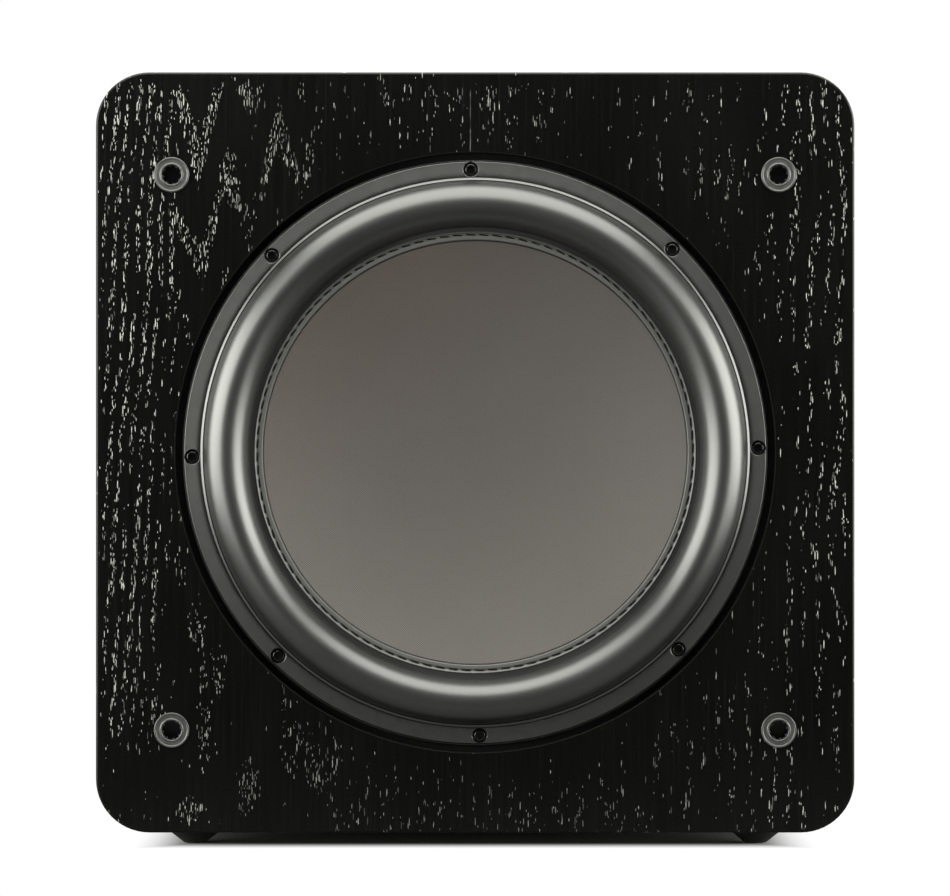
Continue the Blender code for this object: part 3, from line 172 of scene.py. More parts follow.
class Finish(Recipe):
    # a procedural material
    def __init__(self, name):
        self.material = bpy.data.materials.new(name)
        self.material.use_nodes = True
        super().__init__(self.material.node_tree)
        self.tree.nodes.clear()

    def place(self):
        return self.node("ShaderNodeTexCoord", output="Object")

    def noise(self, vector, scale, detail=2.0, rough=0.5):
        return self.node(
            "ShaderNodeTexNoise",
            inputs={"Vector": vector, "Scale": scale, "Detail": detail, "Roughness": rough}
        )

    def cells(self, vector):
        settings = {"voronoi_dimensions": "2D", "feature": "F1"}
        return self.node("ShaderNodeTexVoronoi", settings, {"Vector": vector, "Scale": 1.0})

    def blend(self, share, first, second):
        return self.node(
            "ShaderNodeMix", {"data_type": "RGBA"},
            {0: share, 6: colourOf(first), 7: colourOf(second)}, output=2
        )

    def bump(self, height, distance, strength=1.0):
        return self.node(
            "ShaderNodeBump", inputs={"Height": height, "Distance": distance, "Strength": strength},
            output="Normal"
        )

    def surface(self, **sockets):
        inputs = {key.replace("_", " "): value for key, value in sockets.items()}
        if "Base Color" in inputs:
            inputs["Base Color"] = colourOf(inputs["Base Color"])
        shader = self.node("ShaderNodeBsdfPrincipled", inputs=inputs)
        self.node("ShaderNodeOutputMaterial", inputs={"Surface": shader})
        return self.material


def colourOf(value):
    if isinstance(value, Wire):
        return value
    if isinstance(value, (int, float)):
        return (value, value, value, 1.0)
    return (*value, 1.0)


# finishes

veneerLook = {
    "poreWidth": 0.9,  # size of the grid that pores are scattered on, in mm
    "poreLength": 8.2,
    "fleckWidth": 0.85,
    "fleckLength": 3.4,
    "ringPitch": 6.2,
    "lean": 0.085,
    "archPitch": 64.0,
    "archHeight": 50.0,
    "archHalfWidth": 14.0,
    "black": (0.0006, 0.0006, 0.0005),
    "lessBlack": (0.0017, 0.0017, 0.0014),
    "poreDark": (0.022, 0.022, 0.020),
    "poreLight": (0.29, 0.29, 0.27),
    # flecked patches low on the left: across and up from the middle of the front, half width and
    # half height, in mm
    "patches": [
        (-164, -60, 5, 16), (-155, -97, 6, 17), (-147, -120, 8, 22), (-152, -158, 4, 22),
        (-127, -188, 7, 17), (-103, -150, 6, 36), (-160, -200, 7, 8), (-86, -168, 10, 24),
    ],
}


def veneerFinish():
    look = veneerLook
    f = Finish("blackOpenPoredVeneer")
    u, v, _ = f.split(f.node("ShaderNodeUVMap", {"uv_map": "grain"}))
    across, along = u * 1000.0, v * 1000.0
    onFront = (across.size()).under(300.0)
    fromMiddle = (across * across + along * along) ** 0.5

    # growth rings wander slowly, and each pore leans a little
    sway = f.noise(f.joined(across / 70.0, along / 85.0), 1.0, 1.0) - 0.5
    quiver = f.noise(f.joined(across / 7.0, along / 9.0), 1.0, 1.0) - 0.5
    patches = f.noise(f.joined(across / 9.0, along / 34.0), 1.0, 2.0)
    spread = f.noise(f.joined(across / 60.0, along / 110.0), 1.0, 1.0)

    # upright rings along the left side of the front
    ring = (across + sway * 9.0 + quiver * 3.4 - along * look["lean"]) / look["ringPitch"]
    ringBand = f.ramp(((ring * math.tau).cosine()), -0.35, 0.7) * f.ramp(patches, 0.30, 0.52)
    ringBand = ringBand * f.ramp(along, -178.0, -140.0, 0.12, 1.0)

    # arched rings beside them
    reach = look["archHalfWidth"]
    swung = across + sway * 10.0 + quiver * 3.0 + 153.0
    tooth = swung.maths("PINGPONG", swung, reach) / reach
    arch = (
        along - 152.0 - tooth * look["archHeight"] - (across + 153.0) * 0.8 + sway * 22.0
    ) / look["archPitch"]
    phase = (arch + 4.0).fraction()
    archBand = (
        f.ramp(phase, 0.0, 0.05) * (1.0 - f.ramp(phase, 0.3, 0.46)) * f.ramp(patches, 0.24, 0.42)
    )
    archBand = archBand * f.ramp(along, 40.0, 85.0)

    # loose strands over the rest
    strand = (across + sway * 26.0 + quiver * 5.0) / 8.5
    rightEdge = f.ramp(across, 155.0, 178.0) * onFront
    strandBand = (
        f.ramp((strand * math.tau).cosine(), -0.3, 0.9)
        * f.ramp(patches + rightEdge * 0.06, 0.40, 0.62)
    )
    strandBand = strandBand * (0.22 + 0.36 * (f.ramp(spread, 0.4, 0.65).most(rightEdge * 0.6)))
    strandBand = strandBand * (1.0 + rightEdge * 0.45 * f.ramp(along, -120.0, 40.0, -0.4, 1.0))
    footRows = (
        1.0 - f.ramp(along, -200.0, -165.0)
    ) * f.ramp(across, -105.0, -85.0) * (1.0 - f.ramp(across, 85.0, 130.0))
    strandBand = strandBand + footRows * onFront * 0.1
    topRows = (
        f.ramp(along, 165.0, 178.0) * (1.0 - f.ramp((across + 5.0).size(), 20.0, 70.0)) * onFront
    )
    strandBand = strandBand + topRows * f.ramp(patches, 0.36, 0.56) * 0.2

    knots = 0.0
    for x, z, wide, high in look["patches"]:
        dx, dz = (across + quiver * 5.0 - x) / float(wide), (along - z) / float(high)
        knots = 1.0 - f.ramp(dx * dx + dz * dz, 0.5, 1.3) + knots
    lowLeft = (1.0 - f.ramp(along, -60.0, -20.0)) * (1.0 - f.ramp(across, -90.0, -60.0)) * onFront

    waist = 1.0 - f.ramp(along.size(), 50.0, 80.0)
    ringEdge = -168.0 + waist * 13.0 - (1.0 - f.ramp(along, -80.0, -50.0)) * 8.0
    inRings = (1.0 - f.ramp(across - ringEdge, -3.0, 3.0)) * onFront
    inArches = (
        f.ramp(across - ringEdge, -3.0, 3.0) * (1.0 - f.ramp(across, -100.0, -78.0)) * onFront
    )
    inArches = inArches * f.ramp(along, 30.0, 62.0)
    density = inRings * ringBand * 0.95 + inArches * archBand * 0.9
    density = (
        density + (1.0 - inRings) * (1.0 - inArches * 0.85) * (1.0 - lowLeft * 0.8) * strandBand
    )
    density = (
        density + lowLeft * (1.0 - inRings) * (knots.least(1.0)) * f.ramp(patches, 0.3, 0.5) * 0.6
    )
    density = density * f.ramp(fromMiddle, 172.0, 200.0, 0.3, 1.0)
    rim = (1.0 - f.ramp(along, 203.0, 208.0)) * (1.0 - f.ramp(across.size(), 206.5, 209.5))
    density = density * (1.0 - onFront * (1.0 - rim) * 0.9)

    def pores(width, length, shift, smallest, largest, chance):
        where = f.joined((across + quiver * 0.3) / width + shift, along / length + shift * 1.7)
        cell = f.cells(where)
        chosen, girth, tone = f.split(cell.other("Color"))
        radius = smallest + girth * (largest - smallest)
        mark = 1.0 - f.ramp(cell / radius, 0.78, 1.02)
        return mark * chosen.under(density * chance), tone

    long, longTone = pores(look["poreWidth"], look["poreLength"], 0.0, 0.14, 0.34, 0.8)
    short, shortTone = pores(look["fleckWidth"], look["fleckLength"], 7.3, 0.13, 0.33, 0.5)
    seam = (1.0 - f.ramp((across + 2.7).size(), 0.12, 0.42)) * f.ramp(along, 166.0, 172.0)
    seam = seam * (1.0 - f.ramp(along, 198.0, 204.0)) * f.ramp(patches, 0.3, 0.42)
    pore = (long.most(short)).most(seam * 0.6)
    tone = (longTone * 0.6 + shortTone * 0.4).least(1.0)
    # painted shade: the pores darken towards the bottom, as the light falls from above; they also
    # darken towards the middle and are palest near the left and right edges
    tone = (
        tone * f.ramp(across.size(), 120.0, 180.0, 0.55, 1.0)
        * f.ramp(along, -190.0, 20.0, 0.75, 1.0)
    )

    streak = f.noise(f.joined(across / 1.6, along / 60.0), 1.0, 3.0)
    ground = f.blend(
        f.ramp(streak * 0.6 + spread * 0.4, 0.35, 0.7), look["black"], look["lessBlack"]
    )
    paint = f.blend(f.ramp(tone, 0.05, 0.75), look["poreDark"], look["poreLight"])
    relief = streak * 0.25 - pore
    # open pores dull a flat glance
    grazing = f.node("ShaderNodeLayerWeight", inputs={"Blend": 0.5}, output="Facing")
    return f.surface(
        Base_Color=f.blend(pore, ground, paint),
        Roughness=(
            0.24 + pore * 0.4 + streak * 0.05 + grazing * grazing * grazing * 0.85
        ).least(1.0),
        Normal=f.bump(relief, 0.00007, 0.35), Specular_IOR_Level=0.2
    )


def grained(
    name, dark, light, scale, roughness, relief=0.0, metallic=0.0, detail=3.0, stretch=(1, 1, 1),
    **fixed
):
    # two tones, uneven gloss and a fine relief, for plain moulded, painted and cast surfaces
    f = Finish(name)
    where = f.place()
    if stretch != (1, 1, 1):
        where = f.node("ShaderNodeMapping", inputs={"Vector": where, "Scale": stretch})
    broad = f.noise(where, scale * 0.13, 2.0)
    fine = f.noise(where, scale, detail, 0.6)
    share = f.ramp(broad * 0.5 + fine * 0.5, 0.32, 0.68)
    low, high = roughness
    inputs = {
        "Base_Color": f.blend(share, dark, light),
        "Roughness": f.ramp(fine * 0.7 + broad * 0.3, 0.3, 0.7, low, high),
        "Metallic": metallic,
    }
    if relief:
        inputs["Normal"] = f.bump(fine, relief)
    return f.surface(**inputs, **fixed)


# in metres from the dish's middle: where the painted gap shade, a black ring along the tape's inner
# edge, starts and ends
weave = {"pitch": 0.00132, "gapShadeFrom": 0.11815, "gapShadeTo": 0.1184}


def wovenFinish():
    # yarns across and up, with the twill's slanting ribs over them
    f = Finish("wovenDish")
    x, _, z = f.split(f.place())
    p, q = x / weave["pitch"], z / weave["pitch"]
    crossing = (p * math.tau).cosine() * (q * math.tau).cosine()
    twill = ((p - q) * math.tau + (p * math.pi).cosine() * 0.5).cosine()
    height = crossing * 0.26 + twill * 0.24 + 0.5
    cloud = f.noise(f.place(), 11.0, 3.0)
    warmth = f.ramp(z - midZ - x + cloud * 0.05, 0.06, 0.2)
    base = f.blend(warmth, (0.064, 0.0555, 0.052), (0.067, 0.054, 0.049))
    dark = f.blend(warmth, (0.021, 0.018, 0.0168), (0.022, 0.0172, 0.0155))
    cloth = f.blend(f.ramp(height * 0.8 + cloud * 0.2, 0.15, 0.85), dark, base)
    up = z - midZ
    # painted shade: a black ring at the dish's edge, along the tape, stands in for the shadow in
    # the gap between dish and tape
    gapShade = f.ramp((x * x + up * up) ** 0.5, weave["gapShadeFrom"], weave["gapShadeTo"])
    return f.surface(
        Base_Color=f.blend(gapShade, cloth, (0.0015, 0.0015, 0.0014)),
        Roughness=0.62 - height * 0.12,
        Normal=f.bump(height, 0.00016, 0.5),
        Specular_IOR_Level=0.35,
    )


def tapeFinish():
    # close-woven cloth: faint ribs across the band, read from the angle round the driver
    f = Finish("ribbedTape")
    x, _, z = f.split(f.place())
    angle = x.maths("ARCTAN2", z - midZ, x)
    rib = (angle * 900.0).cosine() * 0.5 + 0.5
    fray = f.noise(f.place(), 900.0, 2.0)
    return f.surface(
        Base_Color=f.blend(rib * 0.4 + fray * 0.6, (0.024, 0.024, 0.0225), (0.046, 0.046, 0.043)),
        Roughness=0.5 - rib * 0.06,
        Normal=f.bump(rib * 0.4 + fray, 0.00006, 0.6),
        Specular_IOR_Level=0.9,
    )


def rubberRollFinish():
    f = Finish("surroundRubber")
    x, _, z = f.split(f.place())
    bloom = f.noise(f.place(), 9.0, 3.0)
    grain = f.noise(f.place(), 2600.0, 2.0)
    dust = f.ramp(f.noise(f.place(), 420.0, 3.0), 0.66, 0.78)
    radius = (x * x + (z - midZ) * (z - midZ)) ** 0.5
    # painted highlight: the outer lip, beyond about 152.4 mm, gets a lighter colour for its bright
    # line
    paintedLipHighlight = f.ramp(radius, 0.1524, 0.1529)
    tone = f.blend(f.ramp(bloom, 0.35, 0.65), (0.0036, 0.0037, 0.0035), (0.0052, 0.0054, 0.005))
    tone = f.blend(dust * 0.25, tone, (0.03, 0.03, 0.028))
    return f.surface(
        Base_Color=f.blend(paintedLipHighlight * 0.6, tone, (0.022, 0.023, 0.021)),
        Roughness=f.ramp(bloom * 0.6 + grain * 0.4, 0.3, 0.7, 0.33, 0.39),
        Normal=f.bump(grain, 0.00002, 0.5),
        Specular_IOR_Level=1.0,
    )


def ribbedMetal(name, dark, light, roughness):
    # machined metal, with turning marks at random heights
    f = Finish(name)
    where = f.place()
    fine = f.noise(
        f.node("ShaderNodeMapping", inputs={"Vector": where, "Scale": (300, 3000, 300)}), 1.0, 3.0
    )
    broad = f.noise(where, 60.0, 2.0)
    return f.surface(
        Base_Color=f.blend(f.ramp(fine * 0.6 + broad * 0.4, 0.3, 0.7), dark, light),
        Roughness=f.ramp(fine, 0.3, 0.7, roughness - 0.06, roughness + 0.08),
        Metallic=1.0,
        Normal=f.bump(fine, 0.00001, 0.6),
    )


def boardFinish():
    # green lacquer with copper tracks under it and rows of solder pads
    f = Finish("circuitBoard")
    x, _, z = f.split(f.place())
    cell = f.cells(f.joined(x / 0.009, z / 0.006))
    track = (
        f.ramp((cell.other("Color")), 0.35, 0.42)
        * f.ramp((((x + z) / 0.004).fraction() - 0.5).size(), 0.3, 0.36)
    )
    pads = 1.0 - f.ramp(f.cells(f.joined(x / 0.005, z / 0.005)), 0.16, 0.2)
    tone = f.blend(track, (0.012, 0.085, 0.03), (0.03, 0.15, 0.05))
    return f.surface(
        Base_Color=f.blend(pads, tone, (0.55, 0.55, 0.5)),
        Roughness=0.35 + pads * 0.1,
        Metallic=pads * 0.8,
        Normal=f.bump(track + pads, 0.00006),
    )


def windingFinish(name, dark, light, pitch, metallic):
    # wire or tape laid turn beside turn
    f = Finish(name)
    _, y, _ = f.split(f.place())
    turn = (y / pitch * math.tau).cosine() * 0.5 + 0.5
    wear = f.noise(f.place(), 90.0, 3.0)
    return f.surface(
        Base_Color=f.blend(turn * 0.7 + wear * 0.3, dark, light),
        Roughness=0.42 - turn * 0.12,
        Metallic=metallic,
        Normal=f.bump(turn, pitch * 0.3),
    )


def lensFinish():
    f = Finish("blueLens")
    x, _, z = f.split(f.place())
    centre = centreOf("status_lens")
    away = ((x - centre.x) * (x - centre.x) + (z - centre.z) * (z - centre.z)) ** 0.5
    glow = 1.0 - f.ramp(away, 0.0, 0.0024)
    return f.surface(
        Base_Color=f.blend(glow, (0.01, 0.05, 0.28), (0.05, 0.25, 0.8)),
        Roughness=0.08 + f.noise(f.place(), 700.0) * 0.08,
        Emission_Color=f.blend(glow, (0.0, 0.01, 0.08), (0.1, 0.35, 1.0)),
        Emission_Strength=0.6,
        Coat_Weight=0.6,
    )


print("finishes")
finishes = {
    "veneer": veneerFinish(),
    "recessPaint": grained(
        "recessPaint", 0.0008, 0.0016, 500, (0.6, 0.8), 0.00002, Specular_IOR_Level=0.12
    ),
    "backPaint": grained("backPaint", 0.009, 0.016, 700, (0.5, 0.7), 0.00005),
    "trimRubber": grained(
        "trimRubber", (0.0026, 0.0027, 0.0025), (0.004, 0.0042, 0.0038), 1500, (0.34, 0.42),
        0.00002, Specular_IOR_Level=1.0
    ),
    "roll": rubberRollFinish(), "dish": wovenFinish(), "tape": tapeFinish(),
    "thread": grained(
        "blackThread", 0.0006, 0.0015, 3000, (0.8, 0.95), 0.00004, Specular_IOR_Level=0.15
    ),
    "socket": grained(
        "socketPlastic", (0.012, 0.012, 0.0115), (0.018, 0.018, 0.017), 1700, (0.34, 0.46), 0.00002,
        Specular_IOR_Level=0.9
    ),
    "screw": grained("blackScrew", 0.0015, 0.003, 1200, (0.12, 0.2), 0.00001),
    "foot": grained("footRubber", 0.011, 0.02, 800, (0.6, 0.8), 0.00006),
    "plate": grained("texturedPlate", 0.011, 0.024, 1400, (0.42, 0.6), 0.00016),
    "heatsink": grained(
        "blackAnodising", 0.010, 0.018, 220, (0.3, 0.42), 0.00001, metallic=0.35,
        stretch=(1, 1, 0.08)
    ),
    "plastic": grained("mouldedPlastic", 0.009, 0.017, 1600, (0.35, 0.5), 0.00003),
    "gloss": grained("glossPlastic", 0.008, 0.013, 300, (0.16, 0.26), 0.00001),
    "mark": grained("paintedMark", 0.55, 0.7, 900, (0.5, 0.65)),
    "red": grained("redInsert", (0.35, 0.01, 0.01), (0.5, 0.02, 0.015), 700, (0.3, 0.42)),
    "white": grained("whiteInsert", 0.6, 0.72, 700, (0.3, 0.42)),
    "nickel": ribbedMetal("nickelShell", (0.5, 0.48, 0.43), (0.68, 0.65, 0.58), 0.22),
    "zinc": grained(
        "zincPlate", (0.42, 0.43, 0.44), (0.6, 0.61, 0.62), 90, (0.28, 0.45), 0.00002, metallic=1.0
    ),
    "lens": lensFinish(),
    "boardWood": grained(
        "rawBoard", (0.19, 0.125, 0.07), (0.3, 0.215, 0.13), 900, (0.75, 0.9), 0.00008
    ),
    "foam": grained("openFoam", 0.028, 0.075, 650, (0.9, 1.0), 0.0012, detail=6.0),
    "paper": grained("pulpCone", 0.016, 0.04, 1100, (0.7, 0.9), 0.00025, detail=5.0),
    "cloth": windingFinish("spiderCloth", (0.26, 0.17, 0.06), (0.5, 0.37, 0.17), 0.0012, 0.0),
    "castMetal": grained(
        "castAluminium", (0.16, 0.16, 0.165), (0.27, 0.27, 0.28), 1200, (0.45, 0.65), 0.00012,
        metallic=0.7
    ),
    "ferrite": grained(
        "ferrite", (0.035, 0.035, 0.04), (0.07, 0.07, 0.078), 600, (0.5, 0.7), 0.00012
    ),
    "blackSteel": grained("blackSteel", 0.016, 0.034, 250, (0.32, 0.5), 0.00003, metallic=0.6),
    "copper": windingFinish("copperWinding", (0.38, 0.13, 0.05), (0.8, 0.36, 0.18), 0.0008, 0.85),
    "film": grained(
        "formerFilm", (0.25, 0.12, 0.02), (0.5, 0.29, 0.07), 130, (0.25, 0.4), Coat_Weight=0.3
    ),
    "circuit": boardFinish(),
    "tapeWound": windingFinish("windingTape", (0.36, 0.24, 0.03), (0.62, 0.46, 0.1), 0.004, 0.0),
    "jacket": grained("cableJacket", 0.014, 0.03, 900, (0.42, 0.58), 0.00004),
    "braid": windingFinish("tinselBraid", (0.4, 0.25, 0.12), (0.8, 0.6, 0.38), 0.0009, 0.8),
    "sleeve": grained(
        "capacitorSleeve", (0.012, 0.014, 0.03), (0.02, 0.024, 0.05), 300, (0.2, 0.32),
        Coat_Weight=0.5
    )
}

# mesh tools


def addPiece(name, mesh, finish, body="cabinet", replaced=(), ride=True):
    obj = bpy.data.objects.new(name, mesh)
    scene.collection.objects.link(obj)
    if finish and not mesh.materials:
        mesh.materials.append(finishes[finish])
    if ride:
        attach(obj, body)
    if replaced:
        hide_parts(*replaced)
    return obj


def meshOf(bm, name, sharp=40, merge=True):
    if merge:
        bmesh.ops.remove_doubles(bm, verts=bm.verts, dist=1e-6)
    bmesh.ops.recalc_face_normals(bm, faces=bm.faces)
    mesh = bpy.data.meshes.new(name)
    bm.to_mesh(mesh)
    bm.free()
    mesh.shade_smooth()
    mesh.set_sharp_from_angle(angle=math.radians(sharp))
    return mesh


def rounded(corners, steps=4):
    # a closed outline of (a, b, rounding) points, with each corner cut by a short curve
    points = []
    count = len(corners)
    for i, corner in enumerate(corners):
        here = Vector(corner[:2])
        rounding = corner[2] if len(corner) > 2 else 0
        if not rounding:
            points.append(here)
            continue
        before, after = Vector(corners[i - 1][:2]) - here, Vector(
            corners[(i + 1) % count][:2]
        ) - here
        start = here + before.normalized() * min(rounding, before.length * 0.48)
        end = here + after.normalized() * min(rounding, after.length * 0.48)
        for k in range(steps + 1):
            t = k / steps
            points.append(start * (1 - t) ** 2 + here * 2 * t * (1 - t) + end * t * t)
    return points


def ellipse(centre, radii, start, end, steps):
    turns = [math.radians(start + (end - start) * i / steps) for i in range(steps + 1)]
    return [(centre[0] + radii[0] * math.cos(a), centre[1] + radii[1] * math.sin(a)) for a in turns]


def turned(section, segments, centre=(0, 0), y=0.0):
    # section of (radius, depth) points spun about a line along Y
    bm = bmesh.new()
    rings = []
    for radius, depth in section:
        count = 1 if radius < 1e-6 else segments
        ring = []
        for k in range(count):
            turn = math.tau * k / segments
            place = (
                centre[0] + radius * mm * math.cos(turn), y + depth * mm,
                centre[1] + radius * mm * math.sin(turn)
            )
            ring.append(bm.verts.new(place))
        rings.append(ring)
    for a, b in zip(rings, rings[1:] + rings[:1]):
        if len(a) == len(b) == 1:
            continue
        for k in range(segments):
            quad = [a[k % len(a)], a[(k + 1) % len(a)], b[(k + 1) % len(b)], b[k % len(b)]]
            bm.faces.new(list(dict.fromkeys(quad)))
    return bm


def joinMeshes(parts):
    bm = bmesh.new()
    for part in parts:
        mesh = bpy.data.meshes.new("part")
        part.to_mesh(mesh)
        part.free()
        bm.from_mesh(mesh)
        bpy.data.meshes.remove(mesh)
    return bm


def roundedRect(halfX, halfZ, radius, steps=6, centre=(0, 0)):
    points = []
    for sx, sz, start in ((1, 1, 0), (-1, 1, 90), (-1, -1, 180), (1, -1, 270)):
        corner = (centre[0] + sx * (halfX - radius), centre[1] + sz * (halfZ - radius))
        points += ellipse(corner, (radius, radius), start, start + 90, steps)
    return points


def circle(radius, segments, centre=(0, 0)):
    return ellipse(centre, (radius, radius), 0, 360, segments)[:-1]


def board(outer, holes):
    # outer: loops from back to front. holes: loops from front to back, closed at the end if "blind"
    bm = bmesh.new()

    def loop(points, y):
        return [bm.verts.new((x, y, z)) for x, z in points]

    def bridge(loops):
        for a, b in zip(loops, loops[1:]):
            for k in range(len(a)):
                bm.faces.new((a[k - 1], a[k], b[k], b[k - 1]))

    def fill(loops):
        edges = []
        for ring in loops:
            for a, b in zip(ring, ring[1:] + ring[:1]):
                edges.append(bm.edges.get((a, b)) or bm.edges.new((a, b)))
        bmesh.ops.triangle_fill(bm, use_beauty=True, edges=edges)

    rim = [loop(points, y) for points, y in outer]
    bridge(rim)
    backs = []
    fronts = []
    for hole in holes:
        rings = [loop(points, y) for points, y in hole["loops"]]
        bridge(rings)
        fronts.append(rings[0])
        if hole["blind"]:
            fill([rings[-1]])
        else:
            backs.append(rings[-1])
    fill([rim[-1], *fronts])
    fill([rim[0], *backs])
    return bm


def boxes(items, bevel=0.0):
    # items of (centre, size), joined, with their edges rounded
    bm = bmesh.new()
    for centre, size in items:
        matrix = Matrix.Translation(centre) @ Matrix.Diagonal((*size, 1))
        bmesh.ops.create_cube(bm, size=1, matrix=matrix)
    if bevel:
        bmesh.ops.bevel(
            bm, geom=list(bm.edges), offset=bevel, segments=2, affect="EDGES", profile=0.5
        )
    return bm


def evaluated(obj, name):
    # the object's mesh with its modifiers worked out
    graph = bpy.context.evaluated_depsgraph_get()
    mesh = bpy.data.meshes.new_from_object(obj.evaluated_get(graph))
    mesh.name = name
    bpy.data.objects.remove(obj)
    return mesh


def helperObject(bm, name):
    mesh = bpy.data.meshes.new(name)
    bmesh.ops.recalc_face_normals(bm, faces=bm.faces)
    bm.to_mesh(mesh)
    bm.free()
    obj = bpy.data.objects.new(name, mesh)
    scene.collection.objects.link(obj)
    return obj


# node trees that repeat a piece, or follow a rule

socketKinds = {
    float: "NodeSocketFloat",
    int: "NodeSocketInt",
    Vector: "NodeSocketVector",
    bpy.types.Object: "NodeSocketObject",
    bpy.types.Material: "NodeSocketMaterial",
}


def startTree(name, inputs):
    tree = bpy.data.node_groups.new(name, "GeometryNodeTree")
    tree.interface.new_socket(name="Geometry", in_out="OUTPUT", socket_type="NodeSocketGeometry")
    for key, kind in inputs.items():
        tree.interface.new_socket(name=key, in_out="INPUT", socket_type=socketKinds[kind])
    r = Recipe(tree)
    first = r.node("NodeGroupInput")
    return r, {key: first.other(key) for key in inputs}


def endTree(r, geometry, finish):
    real = r.node("GeometryNodeRealizeInstances", inputs={"Geometry": geometry})
    painted = r.node("GeometryNodeSetMaterial", inputs={"Geometry": real, "Material": finish})
    r.node("NodeGroupOutput", inputs={0: painted})
    return r.tree


def runTree(tree, name, values):
    host = bpy.data.objects.new(name + "Host", bpy.data.meshes.new(name + "Host"))
    scene.collection.objects.link(host)
    modifier = host.modifiers.new(name, "NODES")
    modifier.node_group = tree
    for item in tree.interface.items_tree:
        if item.in_out == "INPUT":
            modifier[item.identifier] = values[item.name]
    return evaluated(host, name)


def placedInstances(r, points, piece, rotation, finish):
    shape = r.node("GeometryNodeObjectInfo", inputs={"Object": piece}, output="Geometry")
    copies = r.node(
        "GeometryNodeInstanceOnPoints",
        inputs={"Points": points, "Instance": shape, "Rotation": rotation}
    )
    return endTree(r, copies, finish)


def ringTree():
    # copies of a piece round a line along Y, each turned to face outwards
    kinds = {
        "Piece": bpy.types.Object, "Count": int, "Ring Radius": float, "Start Angle": float,
        "Step Angle": float, "Centre": Vector, "Finish": bpy.types.Material,
    }
    r, given = startTree("piecesRoundRing", kinds)
    index = r.node("GeometryNodeInputIndex")
    turn = given["Start Angle"] + index * given["Step Angle"]
    x, y, z = r.split(given["Centre"])
    radius = given["Ring Radius"]
    place = r.joined(x + radius * turn.cosine(), y, z + radius * turn.sine())
    points = r.node("GeometryNodePoints", inputs={"Count": given["Count"], "Position": place})
    stored = r.node("FunctionNodeEulerToRotation", inputs={0: r.joined(0.0, -1.0 * turn, 0.0)})
    return placedInstances(r, points, given["Piece"], stored, given["Finish"])


def rowTree():
    # copies of a piece along X
    kinds = {
        "Piece": bpy.types.Object, "Count": int, "Start": Vector, "Pitch": float,
        "Finish": bpy.types.Material
    }
    r, given = startTree("piecesInRow", kinds)
    index = r.node("GeometryNodeInputIndex")
    x, y, z = r.split(given["Start"])
    points = r.node(
        "GeometryNodePoints",
        inputs={"Count": given["Count"], "Position": r.joined(x + index * given["Pitch"], y, z)}
    )
    still = r.node("FunctionNodeEulerToRotation", inputs={0: (0.0, 0.0, 0.0)})
    return placedInstances(r, points, given["Piece"], still, given["Finish"])


def borderTree():
    # copies of a piece along a rectangle: one at each corner, and some between
    kinds = {
        "Piece": bpy.types.Object, "Width": float, "Height": float, "Between Corners": int,
        "Centre": Vector, "Finish": bpy.types.Material,
    }
    r, given = startTree("piecesRoundBorder", kinds)
    path = r.node(
        "GeometryNodeCurvePrimitiveQuadrilateral",
        inputs={"Width": given["Width"], "Height": given["Height"]}
    )
    upright = r.node(
        "GeometryNodeTransform",
        inputs={
            "Geometry": path, "Rotation": (math.pi / 2, 0.0, 0.0), "Translation": given["Centre"]
        }
    )
    points = r.node(
        "GeometryNodeSubdivideCurve", inputs={"Curve": upright, "Cuts": given["Between Corners"]}
    )
    still = r.node("FunctionNodeEulerToRotation", inputs={0: (0.0, 0.0, 0.0)})
    return placedInstances(r, points, given["Piece"], still, given["Finish"])


def sweptSheet(r, sectionSteps, ringSteps, radius, depth, centre, along):
    # a grid rolled round a line along Y: radius and depth are sums on the section's step number
    sheet = r.node(
        "GeometryNodeMeshGrid",
        inputs={
            "Size X": 1.0, "Size Y": 1.0, "Vertices X": sectionSteps + 1.0,
            "Vertices Y": ringSteps + 1.0
        }
    )
    x, y, z = r.split(centre)
    turn = along * math.tau
    place = r.joined(x + radius * turn.cosine(), y + depth, z + radius * turn.sine())
    moved = r.node("GeometryNodeSetPosition", inputs={"Geometry": sheet, "Position": place})
    return r.node("GeometryNodeMergeByDistance", inputs={"Geometry": moved, "Distance": 1e-6})


def rollTree():
    # half-round surround: lip, groove, roll, land
    names = (
        "Lip Radius", "Lip Width", "Lip Proud", "Groove Width", "Plane", "Half Width", "Height",
        "Land Width", "Lip Steps", "Groove Steps", "Roll Steps", "Land Steps", "Ring Steps"
    )
    kinds = {**{name: float for name in names}, "Centre": Vector, "Finish": bpy.types.Material}
    r, given = startTree("halfRoundSurround", kinds)
    total = given["Lip Steps"] + given["Groove Steps"] + given["Roll Steps"] + given["Land Steps"]
    gridX, gridY, _ = r.split(r.node("GeometryNodeInputPosition"))
    step = (gridX + 0.5) * total

    def share(start, count):
        return r.ramp((step - start) / count, 0.0, 1.0, soft=False)

    lip = share(0.0, given["Lip Steps"])
    groove = share(given["Lip Steps"], given["Groove Steps"])
    turn = share(given["Lip Steps"] + given["Groove Steps"], given["Roll Steps"]) * math.pi
    land = share(total - given["Land Steps"], given["Land Steps"])
    radius = given["Lip Radius"] - given["Lip Width"] * lip - given["Groove Width"] * groove
    radius = radius - given["Half Width"] * (1.0 - turn.cosine()) - given["Land Width"] * land
    rise = (given["Plane"] + given["Lip Proud"]) * (1.0 - lip)
    sink = (given["Plane"] + given["Lip Proud"]) * ((groove * math.pi / 2).sine())
    depth = rise + sink - given["Lip Proud"] - given["Height"] * turn.sine()
    sheet = sweptSheet(r, total, given["Ring Steps"], radius, depth, given["Centre"], gridY + 0.5)
    return endTree(r, sheet, given["Finish"])


